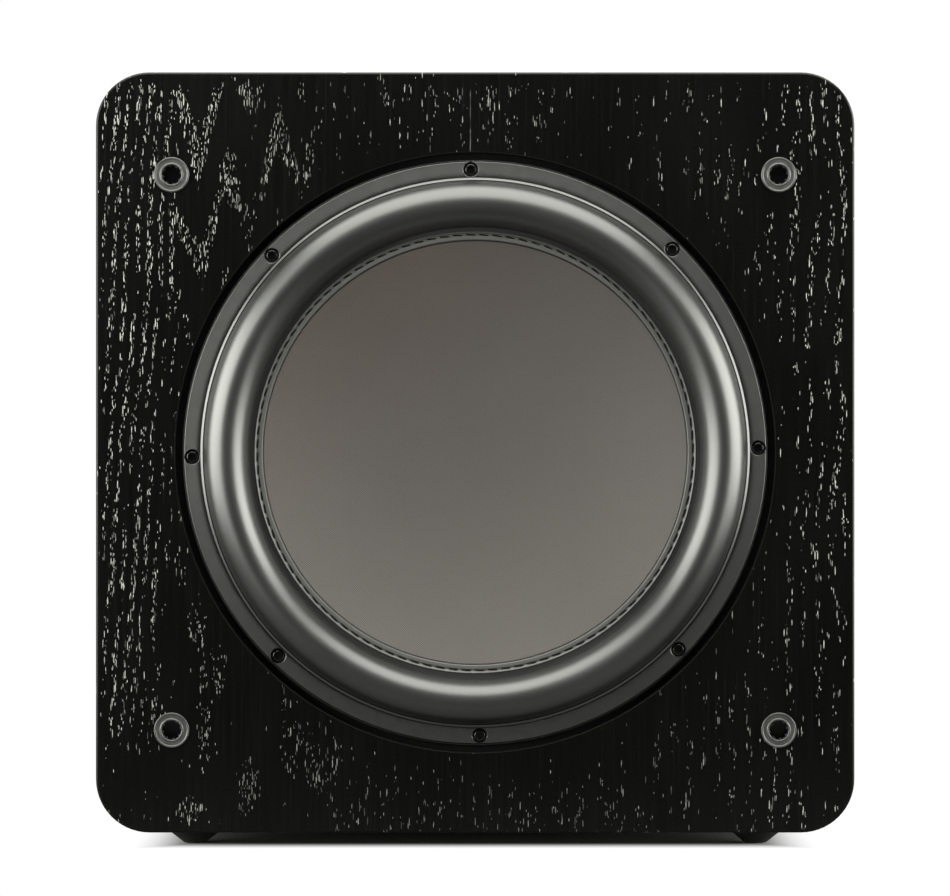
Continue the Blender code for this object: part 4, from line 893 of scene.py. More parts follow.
def waveTree():
    # corrugated disc with a flat land at both edges
    names = (
        "Inner Radius", "Outer Radius", "Inner Land", "Outer Land", "Waves", "Wave Height",
        "Section Steps", "Ring Steps"
    )
    kinds = {**{name: float for name in names}, "Centre": Vector, "Finish": bpy.types.Material}
    r, given = startTree("corrugatedDisc", kinds)
    gridX, gridY, _ = r.split(r.node("GeometryNodeInputPosition"))
    radius = given["Inner Radius"] + (gridX + 0.5) * (given["Outer Radius"] - given["Inner Radius"])
    start = given["Inner Radius"] + given["Inner Land"]
    span = given["Outer Radius"] - given["Outer Land"] - start
    wave = r.ramp((radius - start) / span, 0.0, 1.0, soft=False) * given["Waves"]
    depth = (wave * math.tau).sine() * given["Wave Height"]
    sheet = sweptSheet(
        r, given["Section Steps"], given["Ring Steps"], radius, depth, given["Centre"], gridY + 0.5
    )
    return endTree(r, sheet, given["Finish"])


trees = {
    "ring": ringTree(), "row": rowTree(), "border": borderTree(), "roll": rollTree(),
    "wave": waveTree()
}


def repeated(
    tree, name, source, finish, body="cabinet", slot=None, replaced=(), sharp=40, **values
):
    mesh = runTree(trees[tree], name, {"Piece": source, "Finish": finishes[finish], **values})
    mesh.shade_smooth()
    mesh.set_sharp_from_angle(angle=math.radians(sharp))
    addPiece(name, mesh, None, body, replaced)


def ringOf(
    name, source, finish, body, slot, count, radius, spot, start=0.0, step=None, replaced=(),
    sharp=40
):
    places = {
        "Ring Radius": radius, "Start Angle": start, "Step Angle": step or math.tau / count,
        "Centre": Vector(spot),
    }
    repeated("ring", name, source, finish, body, slot, replaced, sharp, Count=count, **places)


# cabinet

cabinet = {
    "cornerRadius": 30 * mm,
    "edgeRound": 1.3 * mm,
    "recessRadius": 168 * mm,
    "recessDepth": 10.4 * mm,
    "mouthRound": 0.6 * mm,
    "cutoutRadius": 153.3 * mm,
    "socketBore": 8.1 * mm,
    "socketBoreDepth": 18.3 * mm,
    # narrow flat ring beside each rounded edge, which keeps the big faces flat in shading
    "support": 0.4 * mm,
    "wall": 25 * mm,
    "joint": 0.35 * mm,
    "rearRound": 1.5 * mm,
    "cornerSteps": 14,
    "ringSteps": 256,
}
socketNames = [
    "grille_socket_" + end + "_" + side for end in ("top", "bottom") for side in ("left", "right")
]


def cabinetLoop(inset, radius=None):
    radius = cabinet["cornerRadius"] - inset if radius is None else radius
    return roundedRect(
        halfWide - inset, halfHigh - inset, radius, cabinet["cornerSteps"], (0, midZ)
    )


def perimeterAt(x, z):
    # length along the cabinet's outline, from the middle of its underside
    radius = cabinet["cornerRadius"]
    w, h = halfWide - radius, halfHigh - radius
    arc = radius * math.pi / 2
    dx, dz = x - max(-w, min(w, x)), z - max(-h, min(h, z))
    turn = math.atan2(dz, dx)
    if dx and dz:
        corner = (turn + math.pi / 2) % math.tau
        quarter = int(corner // (math.pi / 2))
        starts = (w, w + arc + 2 * h, 3 * w + 2 * arc + 2 * h, 3 * w + 3 * arc + 4 * h)
        return starts[quarter] + (corner - quarter * math.pi / 2) * radius
    if dx > 0:
        return w + arc + z + h
    if dz > 0:
        return w + 2 * arc + 2 * h + w - x
    if dx < 0:
        return 3 * w + 3 * arc + 2 * h + h - z
    return x % (4 * w + 4 * arc + 4 * h)


def mapGrain(mesh):
    # front: across and up. Sides, top and underside: depth and length round the box
    layer = mesh.uv_layers.new(name="grain")
    whole = (
        4 * (halfWide + halfHigh - 2 * cabinet["cornerRadius"]) + math.tau * cabinet["cornerRadius"]
    )
    for face in mesh.polygons:
        flat = abs(face.normal.y) > 0.6
        middle = perimeterAt(face.center.x, face.center.z - midZ)
        for index in face.loop_indices:
            spot = mesh.vertices[mesh.loops[index].vertex_index].co
            if flat:
                layer.data[index].uv = (spot.x, spot.z - midZ)
                continue
            length = perimeterAt(spot.x, spot.z - midZ)
            length += (
                whole if length < middle - whole / 2 else -whole if length > middle + whole / 2
                else 0
            )
            layer.data[index].uv = (1.0 + spot.y - frontY, length)


def makeBaffle():
    c = cabinet
    edge = [(c["edgeRound"] * (1 - math.cos(a)), frontY + c["edgeRound"] * (1 - math.sin(a)))
            for a in (math.radians(15 * i) for i in range(7))]
    outer = [(cabinetLoop(c["joint"]), baffleBackY), (cabinetLoop(0), baffleBackY - c["joint"])]
    outer += [(cabinetLoop(inset), y) for inset, y in edge]
    outer.append((cabinetLoop(c["edgeRound"] + c["support"]), frontY))

    def ring(radius, y, centre=(0, midZ), steps=c["ringSteps"]):
        return (circle(radius, steps, centre), y)

    m, out = c["mouthRound"], c["recessRadius"]
    floorY = frontY + c["recessDepth"]
    mouth = [ring(out + m + c["support"], frontY)]
    mouth += [ring(out + m * (1 - math.sin(a)), frontY + m * (1 - math.cos(a)))
              for a in (math.radians(15 * i) for i in range(7))]
    mouth += [
        ring(out, floorY), ring(c["cutoutRadius"], floorY), ring(c["cutoutRadius"], baffleBackY)
    ]
    holes = [{"loops": mouth, "blind": False}]
    for name in socketNames:
        centre = centreOf(name)
        at = (centre.x, centre.z)
        holes.append(
            {
                "loops": [
                    ring(c["socketBore"], frontY, at, 48),
                    ring(c["socketBore"], frontY + c["socketBoreDepth"], at, 48)
                ],
                "blind": True
            }
        )
    mesh = meshOf(board(outer, holes), "frontBoard")
    mesh.materials.append(finishes["veneer"])
    mesh.materials.append(finishes["recessPaint"])
    for face in mesh.polygons:
        away = math.hypot(face.center.x, face.center.z - midZ)
        inHole = (
            away < out + m
            + 0.1 * mm or (face.center.y > frontY + 3 * mm and away < halfWide - 5 * mm)
        )
        face.material_index = 1 if inHole or face.normal.y > 0.5 else 0
    mapGrain(mesh)
    addPiece("front_board", mesh, None, "cabinet", ["front_baffle"])


def makeWrap():
    c = cabinet
    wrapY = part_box("left_panel")[0].y
    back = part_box("left_panel")[1].y
    rear = [(c["rearRound"] * (1 - math.cos(a)), back - c["rearRound"] * (1 - math.sin(a)))
            for a in (math.radians(18 * i) for i in range(6))]
    sharp = 0.4 * mm
    loops = [
        (cabinetLoop(c["wall"], sharp), wrapY), (cabinetLoop(c["joint"]), wrapY),
        (cabinetLoop(0), wrapY + c["joint"])
    ]
    loops += [(cabinetLoop(inset), y) for inset, y in rear]
    loops += [
        (cabinetLoop(c["rearRound"] + c["support"]), back), (cabinetLoop(c["wall"], sharp), back)
    ]
    bm = bmesh.new()
    rings = [[bm.verts.new((x, y, z)) for x, z in points] for points, y in loops]
    for a, b in zip(rings, rings[1:] + rings[:1]):
        for k in range(len(a)):
            bm.faces.new((a[k - 1], a[k], b[k], b[k - 1]))
    mesh = meshOf(bm, "wrap")
    mesh.materials.append(finishes["veneer"])
    mesh.materials.append(finishes["boardWood"])
    mesh.materials.append(finishes["backPaint"])
    for face in mesh.polygons:
        inside = max(
            abs(face.center.x) / (halfWide - c["wall"] / 2),
            abs(face.center.z - midZ) / (halfHigh - c["wall"] / 2)
        ) < 1
        face.material_index = (
            1 if inside and abs(face.normal.y) < 0.5 else 2 if face.normal.y > 0.9 else 0
        )
    mapGrain(mesh)
    addPiece(
        "cabinet_wrap", mesh, None, "cabinet",
        ["left_panel", "right_panel", "top_panel", "bottom_panel"]
    )


print("cabinet")
makeBaffle()
makeWrap()

# driver, from its edge inwards: radii in mm, depths in mm behind the baffle's face

trim = {
    "out": 165.0, "in": 154.2, "face": 0.3, "slope": 0.105, "crest": 156.0, "foot": 161.6,
    "back": 2.8, "skirt": 163.9, "skirtBack": 8.3, "well": 4.2, "wellDeep": 3.4
}
screw = {
    "head": 3.9, "top": 1.9, "seat": 4.3, "shank": 2.4, "length": 28.0, "key": 1.92, "keyDepth": 1.5
}
band = {
    "in": 118.95, "out": 123.7, "face": 0.4, "back": 1.6, "bead": 122.45, "beadProud": 0.7,
    "stitchRadius": 121.9, "stitchLength": 5.4, "stitchThick": 0.85, "stitches": 104, "slant": 5.5,
    "firstStitch": 0.02
}
dish = {"radius": 118.8, "sagitta": 22.0, "edge": 0.4, "skin": 1.3, "rings": 30}
centre = (0, midZ)
screwNames = ["driver_screw_" + str(i) for i in range(1, 9)]
screwCentres = [centreOf(name) for name in screwNames]
screwCircle = math.hypot(screwCentres[0].x, screwCentres[0].z - midZ)
screwClock = math.atan2(screwCentres[0].z - midZ, screwCentres[0].x)


def makeTrim():
    t = trim
    drop = (t["foot"] - t["crest"]) * t["slope"]
    section = rounded(
        [
            (t["in"], t["face"] + 0.3, 0.3), (t["in"] + 0.7, t["face"] + 0.02, 0.5),
            (t["crest"], t["face"], 1.2), (t["foot"], t["face"] + drop, 1.2),
            (t["foot"] + 1.3, t["face"] + drop + 0.1, 0.3),
            (t["foot"] + 2.1, t["face"] + drop + 1.8, 0.4), (t["out"], t["skirtBack"]),
            (t["skirt"], t["skirtBack"]), (t["skirt"], t["back"]), (t["in"], t["back"])
        ],
        6
    )
    ring = helperObject(turned(section, 320, centre, frontY), "trimRing")
    wells = []
    for spot in screwCentres:
        lip = t["well"] + t["face"] + 0.55
        cut = [
            (0, -1), (lip + 1, -1), (t["well"], t["face"] + 0.55), (t["well"], t["wellDeep"]),
            (0, t["wellDeep"])
        ]
        wells.append(turned(cut, 40, (spot.x, spot.z), frontY))
    cutter = helperObject(joinMeshes(wells), "trimWells")
    cut = ring.modifiers.new("wells", "BOOLEAN")
    cut.operation, cut.solver, cut.object = "DIFFERENCE", "EXACT", cutter
    mesh = evaluated(ring, "trim")
    bpy.data.objects.remove(cutter)
    mesh.shade_smooth()
    mesh.set_sharp_from_angle(angle=math.radians(35))
    addPiece("trim_face", mesh, "trimRubber", "cabinet", ["trim_ring"])


def makeScrews():
    s = screw
    section = rounded(
        [
            (0, s["top"]), (s["head"] * 0.72, s["top"], 0.5), (s["head"], s["top"] + 1.0, 0.7),
            (s["head"], s["seat"], 0.2), (s["shank"], s["seat"]),
            (s["shank"], s["seat"] + s["length"]), (0, s["seat"] + s["length"])
        ]
    )
    body = helperObject(turned(section, 40, (0, 0), frontY), "screwBody")
    key = board(
        [
            (circle(s["key"] * mm, 6), frontY + (s["top"] + s["keyDepth"]) * mm),
            (circle(s["key"] * mm, 6), frontY)
        ],
        []
    )
    cutter = helperObject(key, "screwKey")
    cut = body.modifiers.new("key", "BOOLEAN")
    cut.operation, cut.solver, cut.object = "DIFFERENCE", "EXACT", cutter
    mesh = evaluated(body, "screwSource")
    bpy.data.objects.remove(cutter)
    source = bpy.data.objects.new("screwSource", mesh)
    ringOf("driver_screws", source, "screw", "cabinet", "screw_black", len(screwNames), screwCircle,
           (0, 0, midZ), screwClock, replaced=screwNames, sharp=32)
    bpy.data.objects.remove(source)


surround = {
    "Lip Radius": 154.0 * mm, "Lip Width": 1.35 * mm, "Lip Proud": 0.7 * mm,
    "Groove Width": 0.45 * mm, "Plane": 0.3 * mm, "Half Width": 13 * mm, "Height": 15 * mm,
    "Land Width": 2.4 * mm, "Lip Steps": 5.0, "Groove Steps": 4.0, "Roll Steps": 48.0,
    "Land Steps": 3.0, "Ring Steps": 288.0
}
rubberWall = 1.5 * mm
landIn = 126.3 * mm
rollOut = 152.3 * mm


def bendRadially(piece, outer, inner):
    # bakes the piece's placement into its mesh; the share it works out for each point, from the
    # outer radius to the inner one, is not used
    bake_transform(piece)
    for vert in piece.data.vertices:
        away = math.hypot(vert.co.x, vert.co.z - midZ)
        share = max(0.0, min(1.0, (outer - away) / (outer - inner)))
        share * share * (3 - 2 * share)


def thickened(mesh, name, wall):
    bm = bmesh.new()
    bm.from_mesh(mesh)
    bmesh.ops.remove_doubles(bm, verts=bm.verts, dist=1e-6)
    bmesh.ops.recalc_face_normals(bm, faces=bm.faces)
    if sum(face.normal.y * face.calc_area() for face in bm.faces) > 0:
        bmesh.ops.reverse_faces(bm, faces=bm.faces)
    bm.to_mesh(mesh)
    bm.free()
    obj = bpy.data.objects.new(name, mesh)
    scene.collection.objects.link(obj)
    solid = obj.modifiers.new("wall", "SOLIDIFY")
    solid.thickness, solid.offset = wall, -1
    made = evaluated(obj, name)
    made.shade_smooth()
    made.set_sharp_from_angle(angle=math.radians(50))
    return made


def makeSurround():
    mesh = runTree(
        trees["roll"], "roll",
        {**surround, "Centre": Vector((0, frontY, midZ)), "Finish": finishes["roll"]}
    )
    piece = addPiece(
        "rubber_surround", thickened(mesh, "roll", rubberWall), None, ride=False,
        replaced=["surround"]
    )
    bendRadially(piece, rollOut, landIn)


def makeSpider():
    low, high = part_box("spider")
    outer = (high.x - low.x) / 2
    inner = (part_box("coil_former")[1].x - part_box("coil_former")[0].x) / 2 + 0.3 * mm
    sizes = {
        "Inner Radius": inner, "Outer Radius": outer, "Inner Land": 5 * mm, "Outer Land": 10 * mm,
        "Waves": 4.0, "Wave Height": 3 * mm, "Section Steps": 72.0, "Ring Steps": 144.0
    }
    start = Vector((0, (low.y + high.y) / 2 - 0.4 * mm, midZ))
    mesh = runTree(trees["wave"], "waves", {**sizes, "Centre": start, "Finish": finishes["cloth"]})
    piece = addPiece(
        "corrugated_spider", thickened(mesh, "waves", 0.8 * mm), None, ride=False,
        replaced=["spider"]
    )
    bendRadially(piece, outer - 10 * mm, inner + 5 * mm)


def makeBand():
    b = band
    top = b["face"] - 0.1
    section = rounded(
        [
            (b["in"], b["face"] + 0.3, 0.3), (b["in"] + 0.5, top, 0.3),
            (b["stitchRadius"] - 0.5, top, 0.2), (b["stitchRadius"] - 0.3, top + 0.35, 0.1),
            (b["bead"], top + 0.35, 0.1), (b["out"] - 0.35, top - b["beadProud"], 0.2),
            (b["out"], top - b["beadProud"] + 0.1, 0.1), (b["out"], b["back"], 0.2),
            (b["in"], b["back"], 0.2)
        ],
        4
    )
    mesh = meshOf(turned(section, 288, centre, frontY), "tape", 50)
    addPiece("stitched_tape", mesh, "tape", "cone", ["stitch_band"])
    half, thick = b["stitchLength"] / 2, b["stitchThick"] / 2
    outline = [
        (0, -half), (thick * 0.7, -half + 0.12), (thick, -half * 0.6), (thick, half * 0.6),
        (thick * 0.7, half - 0.12), (0, half)
    ]
    bm = turned(outline, 8)
    lie = Matrix.Rotation(math.radians(b["slant"]), 3, "Y") @ Matrix.Rotation(math.pi / 2, 3, "X")
    for vert in bm.verts:
        vert.co = lie @ vert.co
    source = helperObject(bm, "stitchSource")
    ringOf(
        "tape_stitches", source, "thread", "cone", "stitched_tape", b["stitches"],
        b["stitchRadius"] * mm, (0, frontY + (b["face"] + 0.05) * mm, midZ), b["firstStitch"],
        sharp=60
    )
    bpy.data.objects.remove(source)


def makeDish():
    d = dish
    sphere = (d["radius"] ** 2 + d["sagitta"] ** 2) / (2 * d["sagitta"])
    front = []
    for i in range(d["rings"] + 1):
        radius = d["radius"] * i / d["rings"]
        front.append(
            (radius, d["edge"] + math.sqrt(sphere**2 - radius**2) - (sphere - d["sagitta"]))
        )
    front.append((d["radius"], d["edge"] + 0.15))
    back = [(radius, depth + d["skin"]) for radius, depth in reversed(front[:-1])]
    mesh = meshOf(turned(front + back, 192, centre, frontY), "dish", 40)
    addPiece("woven_dish", mesh, "dish", "cone", ["cone_dish"])


print("driver")
makeTrim()
makeScrews()
makeSurround()
makeSpider()
makeBand()
makeDish()

# grille sockets

socket = {
    "flange": 9.9, "proud": 1.4, "underside": 0.3, "bore": 5.4, "body": 7.8, "depth": 18.0,
    "floor": 16.0, "rim": 0.9, "faceDrop": 0.3, "ribs": 8, "ribTall": 0.85, "ribWide": 1.15,
    "ribLong": 14.0, "firstRib": 0.2
}


def makeSockets():
    s = socket
    face = -s["proud"]
    section = rounded(
        [
            (0, s["depth"]), (s["body"], s["depth"], 0.6), (s["body"], -s["underside"]),
            (s["flange"], -s["underside"], 0.1), (s["flange"], face + 0.1, 0.7),
            (s["flange"] - s["rim"], face, 0.4),
            (s["flange"] - s["rim"] - 0.35, face + s["faceDrop"], 0.2),
            (s["bore"] + s["rim"] + 0.35, face + s["faceDrop"], 0.2),
            (s["bore"] + s["rim"], face, 0.4), (s["bore"], face + 0.1, 0.7),
            (s["bore"], s["floor"], 0.2), (0, s["floor"])
        ],
        4
    )
    rib = boxes(
        [
            (
                (-s["ribTall"] * mm / 2 + 0.1 * mm, (0.3 + s["ribLong"] / 2) * mm, 0),
                (s["ribTall"] * mm, s["ribLong"] * mm, s["ribWide"] * mm)
            )
        ],
        0.2 * mm
    )
    source = helperObject(rib, "ribSource")
    for name in socketNames:
        spot = centreOf(name)
        mesh = meshOf(turned(section, 64, (spot.x, spot.z), frontY), name, 35)
        addPiece(name + "_bush", mesh, "socket", "cabinet", [name])
        ringOf(
            name + "_ribs", source, "plastic", "cabinet", "socket_plastic", s["ribs"],
            s["bore"] * mm, (spot.x, frontY, spot.z), s["firstRib"]
        )
    bpy.data.objects.remove(source)


# feet

foot = {
    "radius": 17.0, "height": 10.0, "rim": 1.5, "tread": 6.2, "well": 2.6, "wellDepth": 1.2,
    "screw": 2.3
}
footNames = ["foot_" + end + "_" + side for end in ("front", "rear") for side in ("left", "right")]


def upright(bm, x, y):
    for vert in bm.verts:
        vert.co = (vert.co.x + x, -vert.co.z + y, vert.co.y)
    return bm


def makeFeet():
    t = foot
    section = rounded(
        [
            (0, t["height"]), (t["radius"], t["height"], 0.3),
            (t["radius"], t["height"] - t["rim"], 0.8), (t["tread"], 0, 0.5), (t["well"], 0, 0.2),
            (t["well"], t["wellDepth"]), (0, t["wellDepth"])
        ]
    )
    head = rounded(
        [
            (0, t["wellDepth"] + 0.4), (t["screw"], t["wellDepth"] + 0.4), (t["screw"], 0.75, 0.3),
            (1.2, 0.45, 0.2), (0.9, 0.75), (0, 0.95)
        ]
    )
    for name in footNames:
        spot = centreOf(name)
        mesh = meshOf(upright(turned(section, 72), spot.x, spot.y), name, 35)
        addPiece(name + "_rubber", mesh, "foot", "cabinet", [name])
        addPiece(
            name + "_screw", meshOf(upright(turned(head, 24), spot.x, spot.y), name + "Screw"),
            "zinc", "cabinet"
        )


print("sockets and feet")
makeSockets()
makeFeet()

# amplifier at the back: sizes in mm, heights and widths from the plate's own box

amp = {
    "corner": 8.0, "edge": 0.6, "shaftHole": 3.5, "lensHole": 2.7, "jackHole": 4.5,
    "fins": 19, "finThick": 2.6, "finLong": 18.0,
    "sinkBase": 4.0, "screwInset": 6.0, "between": 2, "slotWide": 8.0, "slotHigh": 4.0,
    "inletHole": (13.8, 18.3), "switchHole": (8.4, 11.4), "holeCorner": 0.5,  # half sizes
}
plateLow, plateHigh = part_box("amp_plate")
plateMid = (plateLow + plateHigh) / 2
knobNames = ("volume_knob", "crossover_knob", "phase_knob")
jackPitch = (20 * mm, 18 * mm)
jackMid = centreOf("line_jacks")
jackSpots = [
    (jackMid.x + sx * jackPitch[0] / 2, jackMid.z + sz * jackPitch[1] / 2) for sz in (1, -1)
    for sx in (-1, 1)
]
sliderSpot = centreOf("mode_slider") + Vector((2 * mm, 0, 0))
inletLow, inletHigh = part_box("power_inlet")
inletMid = (inletLow + inletHigh) / 2
bezelLow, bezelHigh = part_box("switch_bezel")
bezelMid = (bezelLow + bezelHigh) / 2


def hole(points, blindAt=None):
    if blindAt is None:
        return {"loops": [(points, plateHigh.y), (points, plateLow.y)], "blind": False}
    return {"loops": [(points, plateHigh.y), (points, blindAt)], "blind": True}


def makePlate():
    a = amp
    half = (plateHigh - plateLow) / 2

    def outline(inset):
        return roundedRect(
            half.x - inset, half.z - inset, a["corner"] * mm - inset, 10, (plateMid.x, plateMid.z)
        )

    def window(half, spot):
        return roundedRect(half[0] * mm, half[1] * mm, a["holeCorner"] * mm, 3, (spot.x, spot.z))

    edge = a["edge"] * mm
    outer = [
        (outline(0), plateLow.y), (outline(0), plateHigh.y - edge),
        (outline(edge * 0.3), plateHigh.y - edge * 0.3), (outline(edge), plateHigh.y),
        (outline(edge + 0.4 * mm), plateHigh.y)
    ]
    holes = [
        hole(circle(a["shaftHole"] * mm, 32, (centreOf(n).x, centreOf(n).z))) for n in knobNames
    ]
    lens = centreOf("status_lens")
    holes.append(hole(circle(a["lensHole"] * mm, 32, (lens.x, lens.z))))
    holes += [hole(circle(a["jackHole"] * mm, 32, spot)) for spot in jackSpots]
    holes.append(hole(window((a["slotWide"] / 2, a["slotHigh"] / 2), sliderSpot)))
    holes.append(hole(window(a["inletHole"], inletMid)))
    holes.append(hole(window(a["switchHole"], bezelMid)))
    mesh = meshOf(board(outer, holes), "plate", 35)
    addPiece("amplifier_plate", mesh, "plate", "cabinet", ["amp_plate"])


def makePlateScrews():
    a = amp
    head = [(0, -0.5), (1.25, -0.5), (1.35, -1.5), (2.4, -1.35), (3.5, -0.6), (3.6, 0.0), (0, 0.0)]
    bm = turned([(r, -y) for r, y in head], 24)
    source = helperObject(bm, "plateScrewSource")
    repeated(
        "border", "plate_screws", source, "screw", "cabinet", "screw_black", (), 35,
        **{
            "Width": plateHigh.x - plateLow.x - 2 * a["screwInset"] * mm,
            "Height": plateHigh.z - plateLow.z - 2 * a["screwInset"] * mm,
            "Between Corners": a["between"], "Centre": Vector((plateMid.x, plateHigh.y, plateMid.z))
        }
    )
    bpy.data.objects.remove(source)


def makeHeatsink():
    a = amp
    low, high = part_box("heatsink")
    tall = high.z - low.z
    base = boxes(
        [
            (
                (0, low.y + a["sinkBase"] * mm / 2, (low.z + high.z) / 2),
                (high.x - low.x, a["sinkBase"] * mm, tall)
            )
        ],
        0.4 * mm
    )
    addPiece(
        "heatsink_base", meshOf(base, "sinkBase"), "heatsink", "cabinet",
        ["heatsink"]
    )
    thick, long = a["finThick"] * mm / 2, a["finLong"] * mm
    # a fin's outline, thinner and round at its tip
    side = [
        (-thick, 0), (-thick * 0.62, long - thick * 0.6),
        *[
            (thick * 0.62 * math.cos(t), long - thick * 0.6 + thick * 0.6 * math.sin(t))
            for t in (math.radians(150 - 30 * i) for i in range(5))
        ],
        (thick * 0.62, long - thick * 0.6), (thick, 0)
    ]
    bm = bmesh.new()
    floor = [bm.verts.new((x, y, 0)) for x, y in side]
    roof = [bm.verts.new((x, y, tall)) for x, y in side]
    bm.faces.new(floor)
    bm.faces.new(roof[::-1])
    for k in range(len(floor)):
        bm.faces.new((floor[k - 1], floor[k], roof[k], roof[k - 1]))
    source = helperObject(bm, "finSource")
    pitch = (high.x - low.x - 2 * thick) / (a["fins"] - 1)
    repeated(
        "row", "heatsink_fins", source, "heatsink", "cabinet", "black_metal", (), 40,
        Count=a["fins"],
        **{"Start": Vector((low.x + thick, low.y + a["sinkBase"] * mm, low.z)), "Pitch": pitch}
    )
    bpy.data.objects.remove(source)


knob = {
    "radius": 9.0, "skirt": 10.5, "skirtHigh": 3.0, "height": 14.0, "shaft": 3.0, "shaftBack": 10.6,
    "ridges": 30, "ridgeUp": 8.1, "ridge": (0.7, 8.6, 0.85), "ticks": 11, "tick": (2.6, 0.08, 0.5),
    "scaleRadius": 14.5, "scaleStart": -60, "scaleStep": 30,
}


def makeKnobs():
    k = knob
    ridge = boxes([((0, k["ridgeUp"] * mm, 0), [side * mm for side in k["ridge"]])], 0.25 * mm)
    ridgeSource = helperObject(ridge, "ridgeSource")
    tick = boxes([((0, k["tick"][1] / 2 * mm, 0), [side * mm for side in k["tick"]])])
    tickSource = helperObject(tick, "tickSource")
    for name in knobNames:
        body = name.replace("_knob", "")
        low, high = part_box(name)
        spot = (low + high) / 2
        foot = high.y - k["height"] * mm
        section = rounded(
            [
                (0, -k["shaftBack"]), (k["shaft"], -k["shaftBack"], 0.3), (k["shaft"], 0),
                (k["skirt"], 0, 0.3), (k["skirt"], k["skirtHigh"] - 0.6, 0.8),
                (k["radius"] - 0.1, k["skirtHigh"] + 0.3, 0.4),
                (k["radius"] - 0.3, k["height"] - 1.2, 0.9), (k["radius"] - 1.8, k["height"], 0.5),
                (k["radius"] - 2.6, k["height"] - 0.25, 0.4), (0, k["height"] - 0.35)
            ]
        )
        mesh = meshOf(turned(section, 72, (spot.x, spot.z), foot), name, 35)
        addPiece(name + "_turned", mesh, "plastic", body, [name])
        ringOf(name + "_knurl", ridgeSource, "plastic", body, "dark_plastic", k["ridges"],
               (k["radius"] - 0.05) * mm, (spot.x, foot, spot.z))
        mark = boxes(
            [((spot.x, high.y - 0.12 * mm, spot.z + 5.2 * mm), (0.9 * mm, 0.3 * mm, 5.6 * mm))],
            0.1 * mm
        )
        addPiece(name + "_pointer", meshOf(mark, name + "Pointer"), "mark", body)
        ringOf(
            name + "_scale", tickSource, "mark", "cabinet", "dark_plastic", k["ticks"],
            k["scaleRadius"] * mm, (spot.x, plateHigh.y, spot.z), math.radians(k["scaleStart"]),
            math.radians(k["scaleStep"])
        )
    bpy.data.objects.remove(ridgeSource)
    bpy.data.objects.remove(tickSource)


jack = {
    "back": -5, "bore": 3.3, "shell": 4.2, "collarIn": 4.25, "collarOut": 6.4, "collarProud": 1.1,
    "collarPeak": 1.5, "insert": (1.7, 3.25), "insertSunk": 0.7, "contact": (1.15, 1.65),
    "contactSunk": 1.4
}


def makeJacks():
    j = jack
    low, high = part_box("line_jacks")
    tip = high.y
    blockFront = plateLow.y - 0.3 * mm
    block = boxes(
        [
            (
                (jackMid.x, (low.y + blockFront) / 2, jackMid.z),
                (high.x - low.x, blockFront - low.y, high.z - low.z)
            )
        ],
        0.8 * mm
    )
    addPiece(
        "jack_block", meshOf(block, "jackBlock"), "plastic", "cabinet",
        ["line_jacks"]
    )
    length = (tip - plateHigh.y) / mm

    def sleeve(bore, outside, tip, outerRound, innerRound):
        return rounded(
            [
                (bore, j["back"]), (outside, j["back"]), (outside, tip, outerRound),
                (bore, tip, innerRound)
            ]
        )

    shell = sleeve(j["bore"], j["shell"], length, 0.4, 0.3)
    collar = rounded([
        (j["collarIn"], 0.1), (j["collarOut"], 0.1, 0.2), (j["collarOut"], j["collarProud"], 0.5),
        (j["collarIn"], j["collarPeak"], 0.3),
    ])
    insert = sleeve(*j["insert"], length - j["insertSunk"], 0.3, 0.3)
    contact = sleeve(*j["contact"], length - j["contactSunk"], 0.2, 0.2)

    def group(name, section, spots, finish):
        parts = [turned(section, 36, spot, plateHigh.y) for spot in spots]
        addPiece(
            name, meshOf(joinMeshes(parts), name, merge=False), finish, "cabinet"
        )

    group("jack_shells", shell, jackSpots, "nickel")
    group("jack_contacts", contact, jackSpots, "nickel")
    group("jack_collars_white", collar, jackSpots[:2], "white")
    group("jack_collars_red", collar, jackSpots[2:], "red")
    group("jack_inserts_white", insert, jackSpots[:2], "white")
    group("jack_inserts_red", insert, jackSpots[2:], "red")


inlet = {
    "wide": 27.0, "high": 36.0, "deep": 29.0, "rim": 3.5, "cavityWide": 23.0, "cavityHigh": 16.0,
    "cavityDeep": 18.0, "cavityUp": 7.0, "chamfer": 4.0, "pocketWide": 16.0, "pocketHigh": 9.0,
    "pocketDeep": 25.5, "pinPitch": 14.0
}


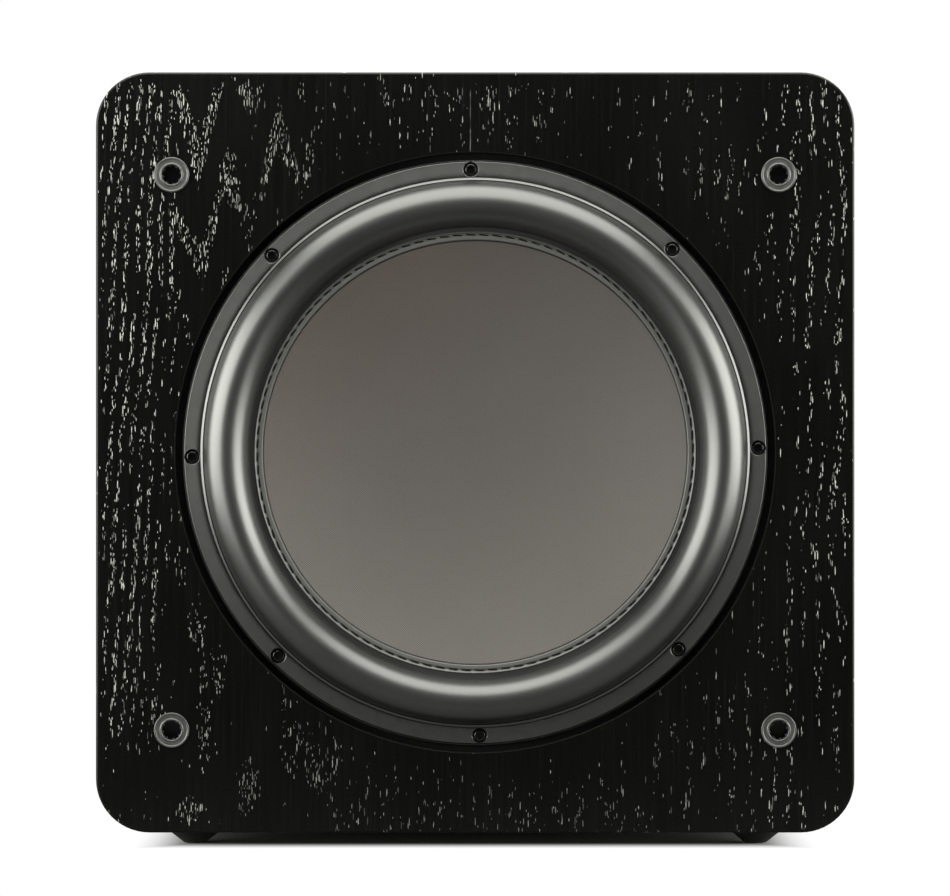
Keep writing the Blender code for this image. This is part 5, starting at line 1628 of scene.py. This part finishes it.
def makeInlet():
    i = inlet
    x, z, face = inletMid.x, inletMid.z, inletHigh.y
    drawer = centreOf("fuse_drawer")

    def flange(inset):
        return roundedRect(
            (i["wide"] / 2 + i["rim"]) * mm - inset, (i["high"] / 2 + i["rim"]) * mm - inset,
            2 * mm, 5, (x, z)
        )

    body = roundedRect(i["wide"] / 2 * mm, i["high"] / 2 * mm, 1 * mm, 5, (x, z))
    outer = [
        (body, face - i["deep"] * mm), (body, face - 2.7 * mm), (flange(0), face - 2.7 * mm),
        (flange(0), face - 0.8 * mm), (flange(0.25 * mm), face - 0.25 * mm),
        (flange(0.8 * mm), face), (flange(1.1 * mm), face)
    ]
    w, h, c = i["cavityWide"] / 2, i["cavityHigh"] / 2, i["chamfer"]
    mouth = [
        (-w, -h, 0.8), (w, -h, 0.8), (w, h - c, 0.5), (w - c, h, 0.5), (c - w, h, 0.5),
        (-w, h - c, 0.5)
    ]
    mouth = [(x + p.x * mm, z + (p.y + i["cavityUp"]) * mm) for p in rounded(mouth, 3)]
    pocket = roundedRect(
        i["pocketWide"] / 2 * mm, i["pocketHigh"] / 2 * mm, 0.5 * mm, 3, (drawer.x, drawer.z)
    )
    holes = [{"loops": [(mouth, face), (mouth, face - i["cavityDeep"] * mm)], "blind": True},
             {"loops": [(pocket, face), (pocket, face - i["pocketDeep"] * mm)], "blind": True}]
    addPiece(
        "inlet_housing", meshOf(board(outer, holes), "inlet", 35), "plastic", "cabinet",
        ["power_inlet"]
    )
    pins = []
    for dx, dz in ((-i["pinPitch"] / 2, -2), (i["pinPitch"] / 2, -2), (0, 2)):
        at = (x + dx * mm, face - 12 * mm, z + (i["cavityUp"] + dz) * mm)
        pins.append((at, (2 * mm, 12 * mm, 4 * mm)))
    addPiece(
        "inlet_pins", meshOf(boxes(pins, 0.45 * mm), "inletPins", merge=False), "nickel", "cabinet",
    )

    low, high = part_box("fuse_drawer")
    tray = [
        ((drawer.x, (low.y + face) / 2, drawer.z), (high.x - low.x, face - low.y, high.z - low.z)),
        (
            (drawer.x, (face + high.y) / 2, drawer.z),
            (high.x - low.x - 0.4 * mm, high.y - face, high.z - low.z - 0.4 * mm)
        ),
        (
            (drawer.x, high.y - 0.5 * mm, drawer.z + 1.6 * mm),
            (high.x - low.x - 5 * mm, 0.9 * mm, 1.0 * mm)
        )
    ]
    addPiece(
        "fuse_tray", meshOf(boxes(tray, 0.3 * mm), "fuseTray", merge=False), "gloss", "drawer",
        ["fuse_drawer"]
    )


rocker = {"room": (6.5, 9.5), "radius": 9.0, "lift": 4.0, "tilt": 9, "halfWide": 6}


def makeSwitch():
    x, z = bezelMid.x, bezelMid.z
    half = (bezelHigh - bezelLow) / 2
    room = [side * mm for side in rocker["room"]]

    def rim(inset):
        return roundedRect(half.x - inset, half.z - inset, 1.2 * mm, 5, (x, z))

    shell = roundedRect(room[0] + 1.6 * mm, room[1] + 1.6 * mm, 0.6 * mm, 5, (x, z))
    under = plateHigh.y + 0.3 * mm
    outer = [
        (shell, bezelLow.y), (shell, under), (rim(0), under), (rim(0), bezelHigh.y - 0.7 * mm),
        (rim(0.2 * mm), bezelHigh.y - 0.2 * mm), (rim(0.7 * mm), bezelHigh.y),
        (rim(0.9 * mm), bezelHigh.y)
    ]
    gap = roundedRect(*room, 0.3 * mm, 3, (x, z))
    holes = [{"loops": [(gap, bezelHigh.y), (gap, bezelLow.y + 1.6 * mm)], "blind": True}]
    addPiece(
        "switch_surround", meshOf(board(outer, holes), "bezel", 35), "plastic", "cabinet",
        ["switch_bezel"]
    )
    # the rocker: a V-topped section, rounded at its ends, tipped to one side
    radius, lift, tilt = rocker["radius"], rocker["lift"], math.radians(rocker["tilt"])
    reach = math.sqrt(radius**2 - lift**2)
    start = math.degrees(math.asin(lift / radius))
    top = [
        (-reach + reach * t, lift - (lift - lift / 2.5) * (1 - (1 - t) ** 2))
        for t in (i / 8 for i in range(9))
    ]
    section = (
        top + [(-a, b) for a, b in reversed(top[:-1])]
        + ellipse((0, 0), (radius, radius), start, -180 - start, 24)[1:-1]
    )
    wide = rocker["halfWide"] * mm
    bm = bmesh.new()
    sides = []
    for across in (-wide, -wide + 0.4 * mm, wide - 0.4 * mm, wide):
        shrink = 0.96 if abs(across) == wide else 1.0
        ring = []
        for a, b in section:
            a, b = a * shrink * mm, b * shrink * mm
            ring.append(
                bm.verts.new(
                    (
                        x + across, plateHigh.y + b * math.cos(tilt) - a * math.sin(tilt),
                        z + a * math.cos(tilt) + b * math.sin(tilt)
                    )
                )
            )
        sides.append(ring)
    for a, b in zip(sides, sides[1:]):
        for k in range(len(a)):
            bm.faces.new((a[k - 1], a[k], b[k], b[k - 1]))
    bm.faces.new(sides[0])
    bm.faces.new(sides[-1][::-1])
    addPiece(
        "switch_rocker", meshOf(bm, "rocker", 35), "gloss", "rocker",
        ["power_rocker"]
    )


statusLens = {"dome": 2.4, "flange": 3.4, "flangeFront": -3.3, "back": -6.3}


def makeLens():
    d = statusLens
    spot = centreOf("status_lens")
    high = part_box("status_lens")[1]
    proud = (high.y - plateHigh.y) / mm
    dome = ellipse((0, 0), (d["dome"], proud), 0, 90, 8)
    section = [
        (0, d["back"]), (d["flange"], d["back"]), (d["flange"], d["flangeFront"]),
        (d["dome"], d["flangeFront"]), *dome[:-1], (0, proud)
    ]
    addPiece(
        "status_light", meshOf(turned(section, 36, (spot.x, spot.z), plateHigh.y), "lens"), "lens",
        "cabinet", ["status_lens"]
    )


print("amplifier")
makePlate()
makePlateScrews()
makeHeatsink()
makeKnobs()
makeJacks()
makeInlet()
makeSwitch()
makeLens()


def makeLeads():
    # the two braided leads, copied from the model with their placement baked into the mesh
    for side in ("left", "right"):
        node = "tinsel_lead_" + side
        bm = bmesh.new()
        bm.from_mesh(nodes[node].data)
        bm.transform(nodes[node].matrix_world)
        lead = addPiece(
            "braided_lead_" + side, meshOf(bm, "lead", 50), "braid", replaced=[node], ride=False
        )
        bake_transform(lead)


print("leads")
makeLeads()

# finishes on the nodes that keep their own shape

carried = {
    "back_panel": "backPaint", "window_brace": "boardWood", "damping_pad": "foam",
    "driver_gasket": "foam", "amp_gasket": "foam", "driver_basket": "castMetal",
    "shorting_ring": "zinc", "top_plate": "blackSteel", "pole_yoke": "blackSteel",
    "magnet": "ferrite", "terminal_block": "plastic", "capacitor_left": "sleeve",
    "capacitor_right": "sleeve", "speaker_cable": "jacket", "amp_chassis": "zinc",
    "main_board": "circuit", "transformer": "tapeWound", "mode_slider": "plastic",
    "cone_body": "paper", "coil_former": "film", "coil_winding": "copper"
}
for name, finish in carried.items():
    holder = nodes[name]
    holder.data.materials.clear()
    holder.data.materials.append(finishes[finish])

# floor, lights and camera

studio = {
    "eye": (-0.0001, frontY - 2.5, midZ + 0.0025),
    "lens": 169.15,
    "dim": 0.04,  # what surfaces see all round
    "away": 1.3,  # the side panels' distance from the middle
    "above": 0.95,
    "glow": 6.5,  # the top panel's brightness
    "sideGlow": 10.3,
    "tint": (0.985, 1.0, 0.925),
    "floorTone": 0.3,
    "rearGlow": 6.5,
    # side of the cabinet, and the angles off the driver's axis between which the panel stands
    "sides": {"softLeft": (-1, 31, 95), "softRight": (1, 40, 112)},
    "sideHigh": 1.0,
    "sideMiddle": 0.5,
    "topAngles": (35, 115),
    "topWide": 1.6,
}


def panel(name, place, turn, width, height, glow):
    # a soft light of an even brightness
    data = bpy.data.lights.new(name, "AREA")
    data.shape, data.size, data.size_y = "RECTANGLE", width, height
    data.energy, data.color = glow * math.pi * width * height, studio["tint"]
    lamp = bpy.data.objects.new(name, data)
    lamp.location = place
    lamp.rotation_euler = turn
    scene.collection.objects.link(lamp)


def span(distance, nearest, furthest):
    # where a panel starts and ends along Y, from the angles off the driver's axis
    start = -distance / math.tan(math.radians(nearest))
    end = -distance / math.tan(math.radians(furthest))
    return frontY + (start + end) / 2, end - start


def makeFloor():
    f = Finish("paleFloor")
    x, y, _ = f.split(f.place())
    away = (x.size() - halfWide).most((y - (frontY + rearY) / 2).size() - (rearY - frontY) / 2)
    far = f.ramp(away, -0.055, -0.015)
    tone = f.noise(f.place(), 3.0, 2.0)
    shade = studio["floorTone"]
    matt = f.node("ShaderNodeBsdfDiffuse", inputs={"Color": f.blend(tone, shade, shade * 1.04)})
    glow = f.node("ShaderNodeEmission", inputs={"Color": colourOf(1.0), "Strength": 1.02})
    seen = f.node("ShaderNodeMixShader", inputs={0: far, 1: matt, 2: glow})
    bounce = f.blend(f.ramp(away, 0.08, 0.3), 0.11, 0.03)  # what the cabinet sees in the floor
    unlit = f.node("ShaderNodeBsdfDiffuse", inputs={"Color": bounce})
    above = f.node(
        "ShaderNodeMixShader", inputs={0: f.node("ShaderNodeLightPath"), 1: unlit, 2: seen}
    )
    clear = f.node("ShaderNodeBsdfTransparent")  # the floor hides nothing from below
    behind = f.node("ShaderNodeNewGeometry", output="Backfacing")
    both = f.node("ShaderNodeMixShader", inputs={0: behind, 1: above, 2: clear})
    f.node("ShaderNodeOutputMaterial", inputs={"Surface": both})
    bm = bmesh.new()
    bmesh.ops.create_grid(bm, x_segments=8, y_segments=8, size=30)
    mesh = bpy.data.meshes.new("floor")
    bm.to_mesh(mesh)
    bm.free()
    mesh.materials.append(f.material)
    floor = bpy.data.objects.new("floor", mesh)
    floor.location.z = -0.0002
    scene.collection.objects.link(floor)


def makeWorld():
    world = bpy.data.worlds.new("studio")
    scene.world = world
    world.use_nodes = True
    r = Recipe(world.node_tree)
    world.node_tree.nodes.clear()
    path = r.node("ShaderNodeLightPath")
    seen = r.node("ShaderNodeBackground", inputs={"Color": (1, 1, 1, 1), "Strength": 1.02})
    felt = r.node(
        "ShaderNodeBackground", inputs={"Color": (0.97, 0.98, 1.0, 1), "Strength": studio["dim"]}
    )
    both = r.node("ShaderNodeMixShader", inputs={0: path, 1: felt, 2: seen})
    r.node("ShaderNodeOutputWorld", inputs={"Surface": both})


print("studio")
makeFloor()
makeWorld()
across, up = studio["away"], studio["above"]
for name, (side, nearest, furthest) in studio["sides"].items():
    middle, length = span(across, nearest, furthest)
    place, turn = (side * across, middle, studio["sideMiddle"]), (0, side * math.pi / 2, 0)
    panel(name, place, turn, studio["sideHigh"], length, studio["sideGlow"])
middle, length = span(up, *studio["topAngles"])
panel("softTop", (0, middle, midZ + up), (0, 0, 0), studio["topWide"], length, studio["glow"])
panel(
    "softRear", (0.3, rearY + 1.9, midZ + 0.9), (math.radians(-65), 0, 0), 1.8, 1.2,
    studio["rearGlow"]
)

eye = bpy.data.cameras.new("camera")
eye.lens, eye.sensor_width = studio["lens"], 36
eye.clip_end = 100
camera = bpy.data.objects.new("camera", eye)
camera.location = studio["eye"]
camera.rotation_euler = (math.pi / 2, 0, 0)
scene.collection.objects.link(camera)
scene.camera = camera
scene.view_settings.view_transform = "Standard"
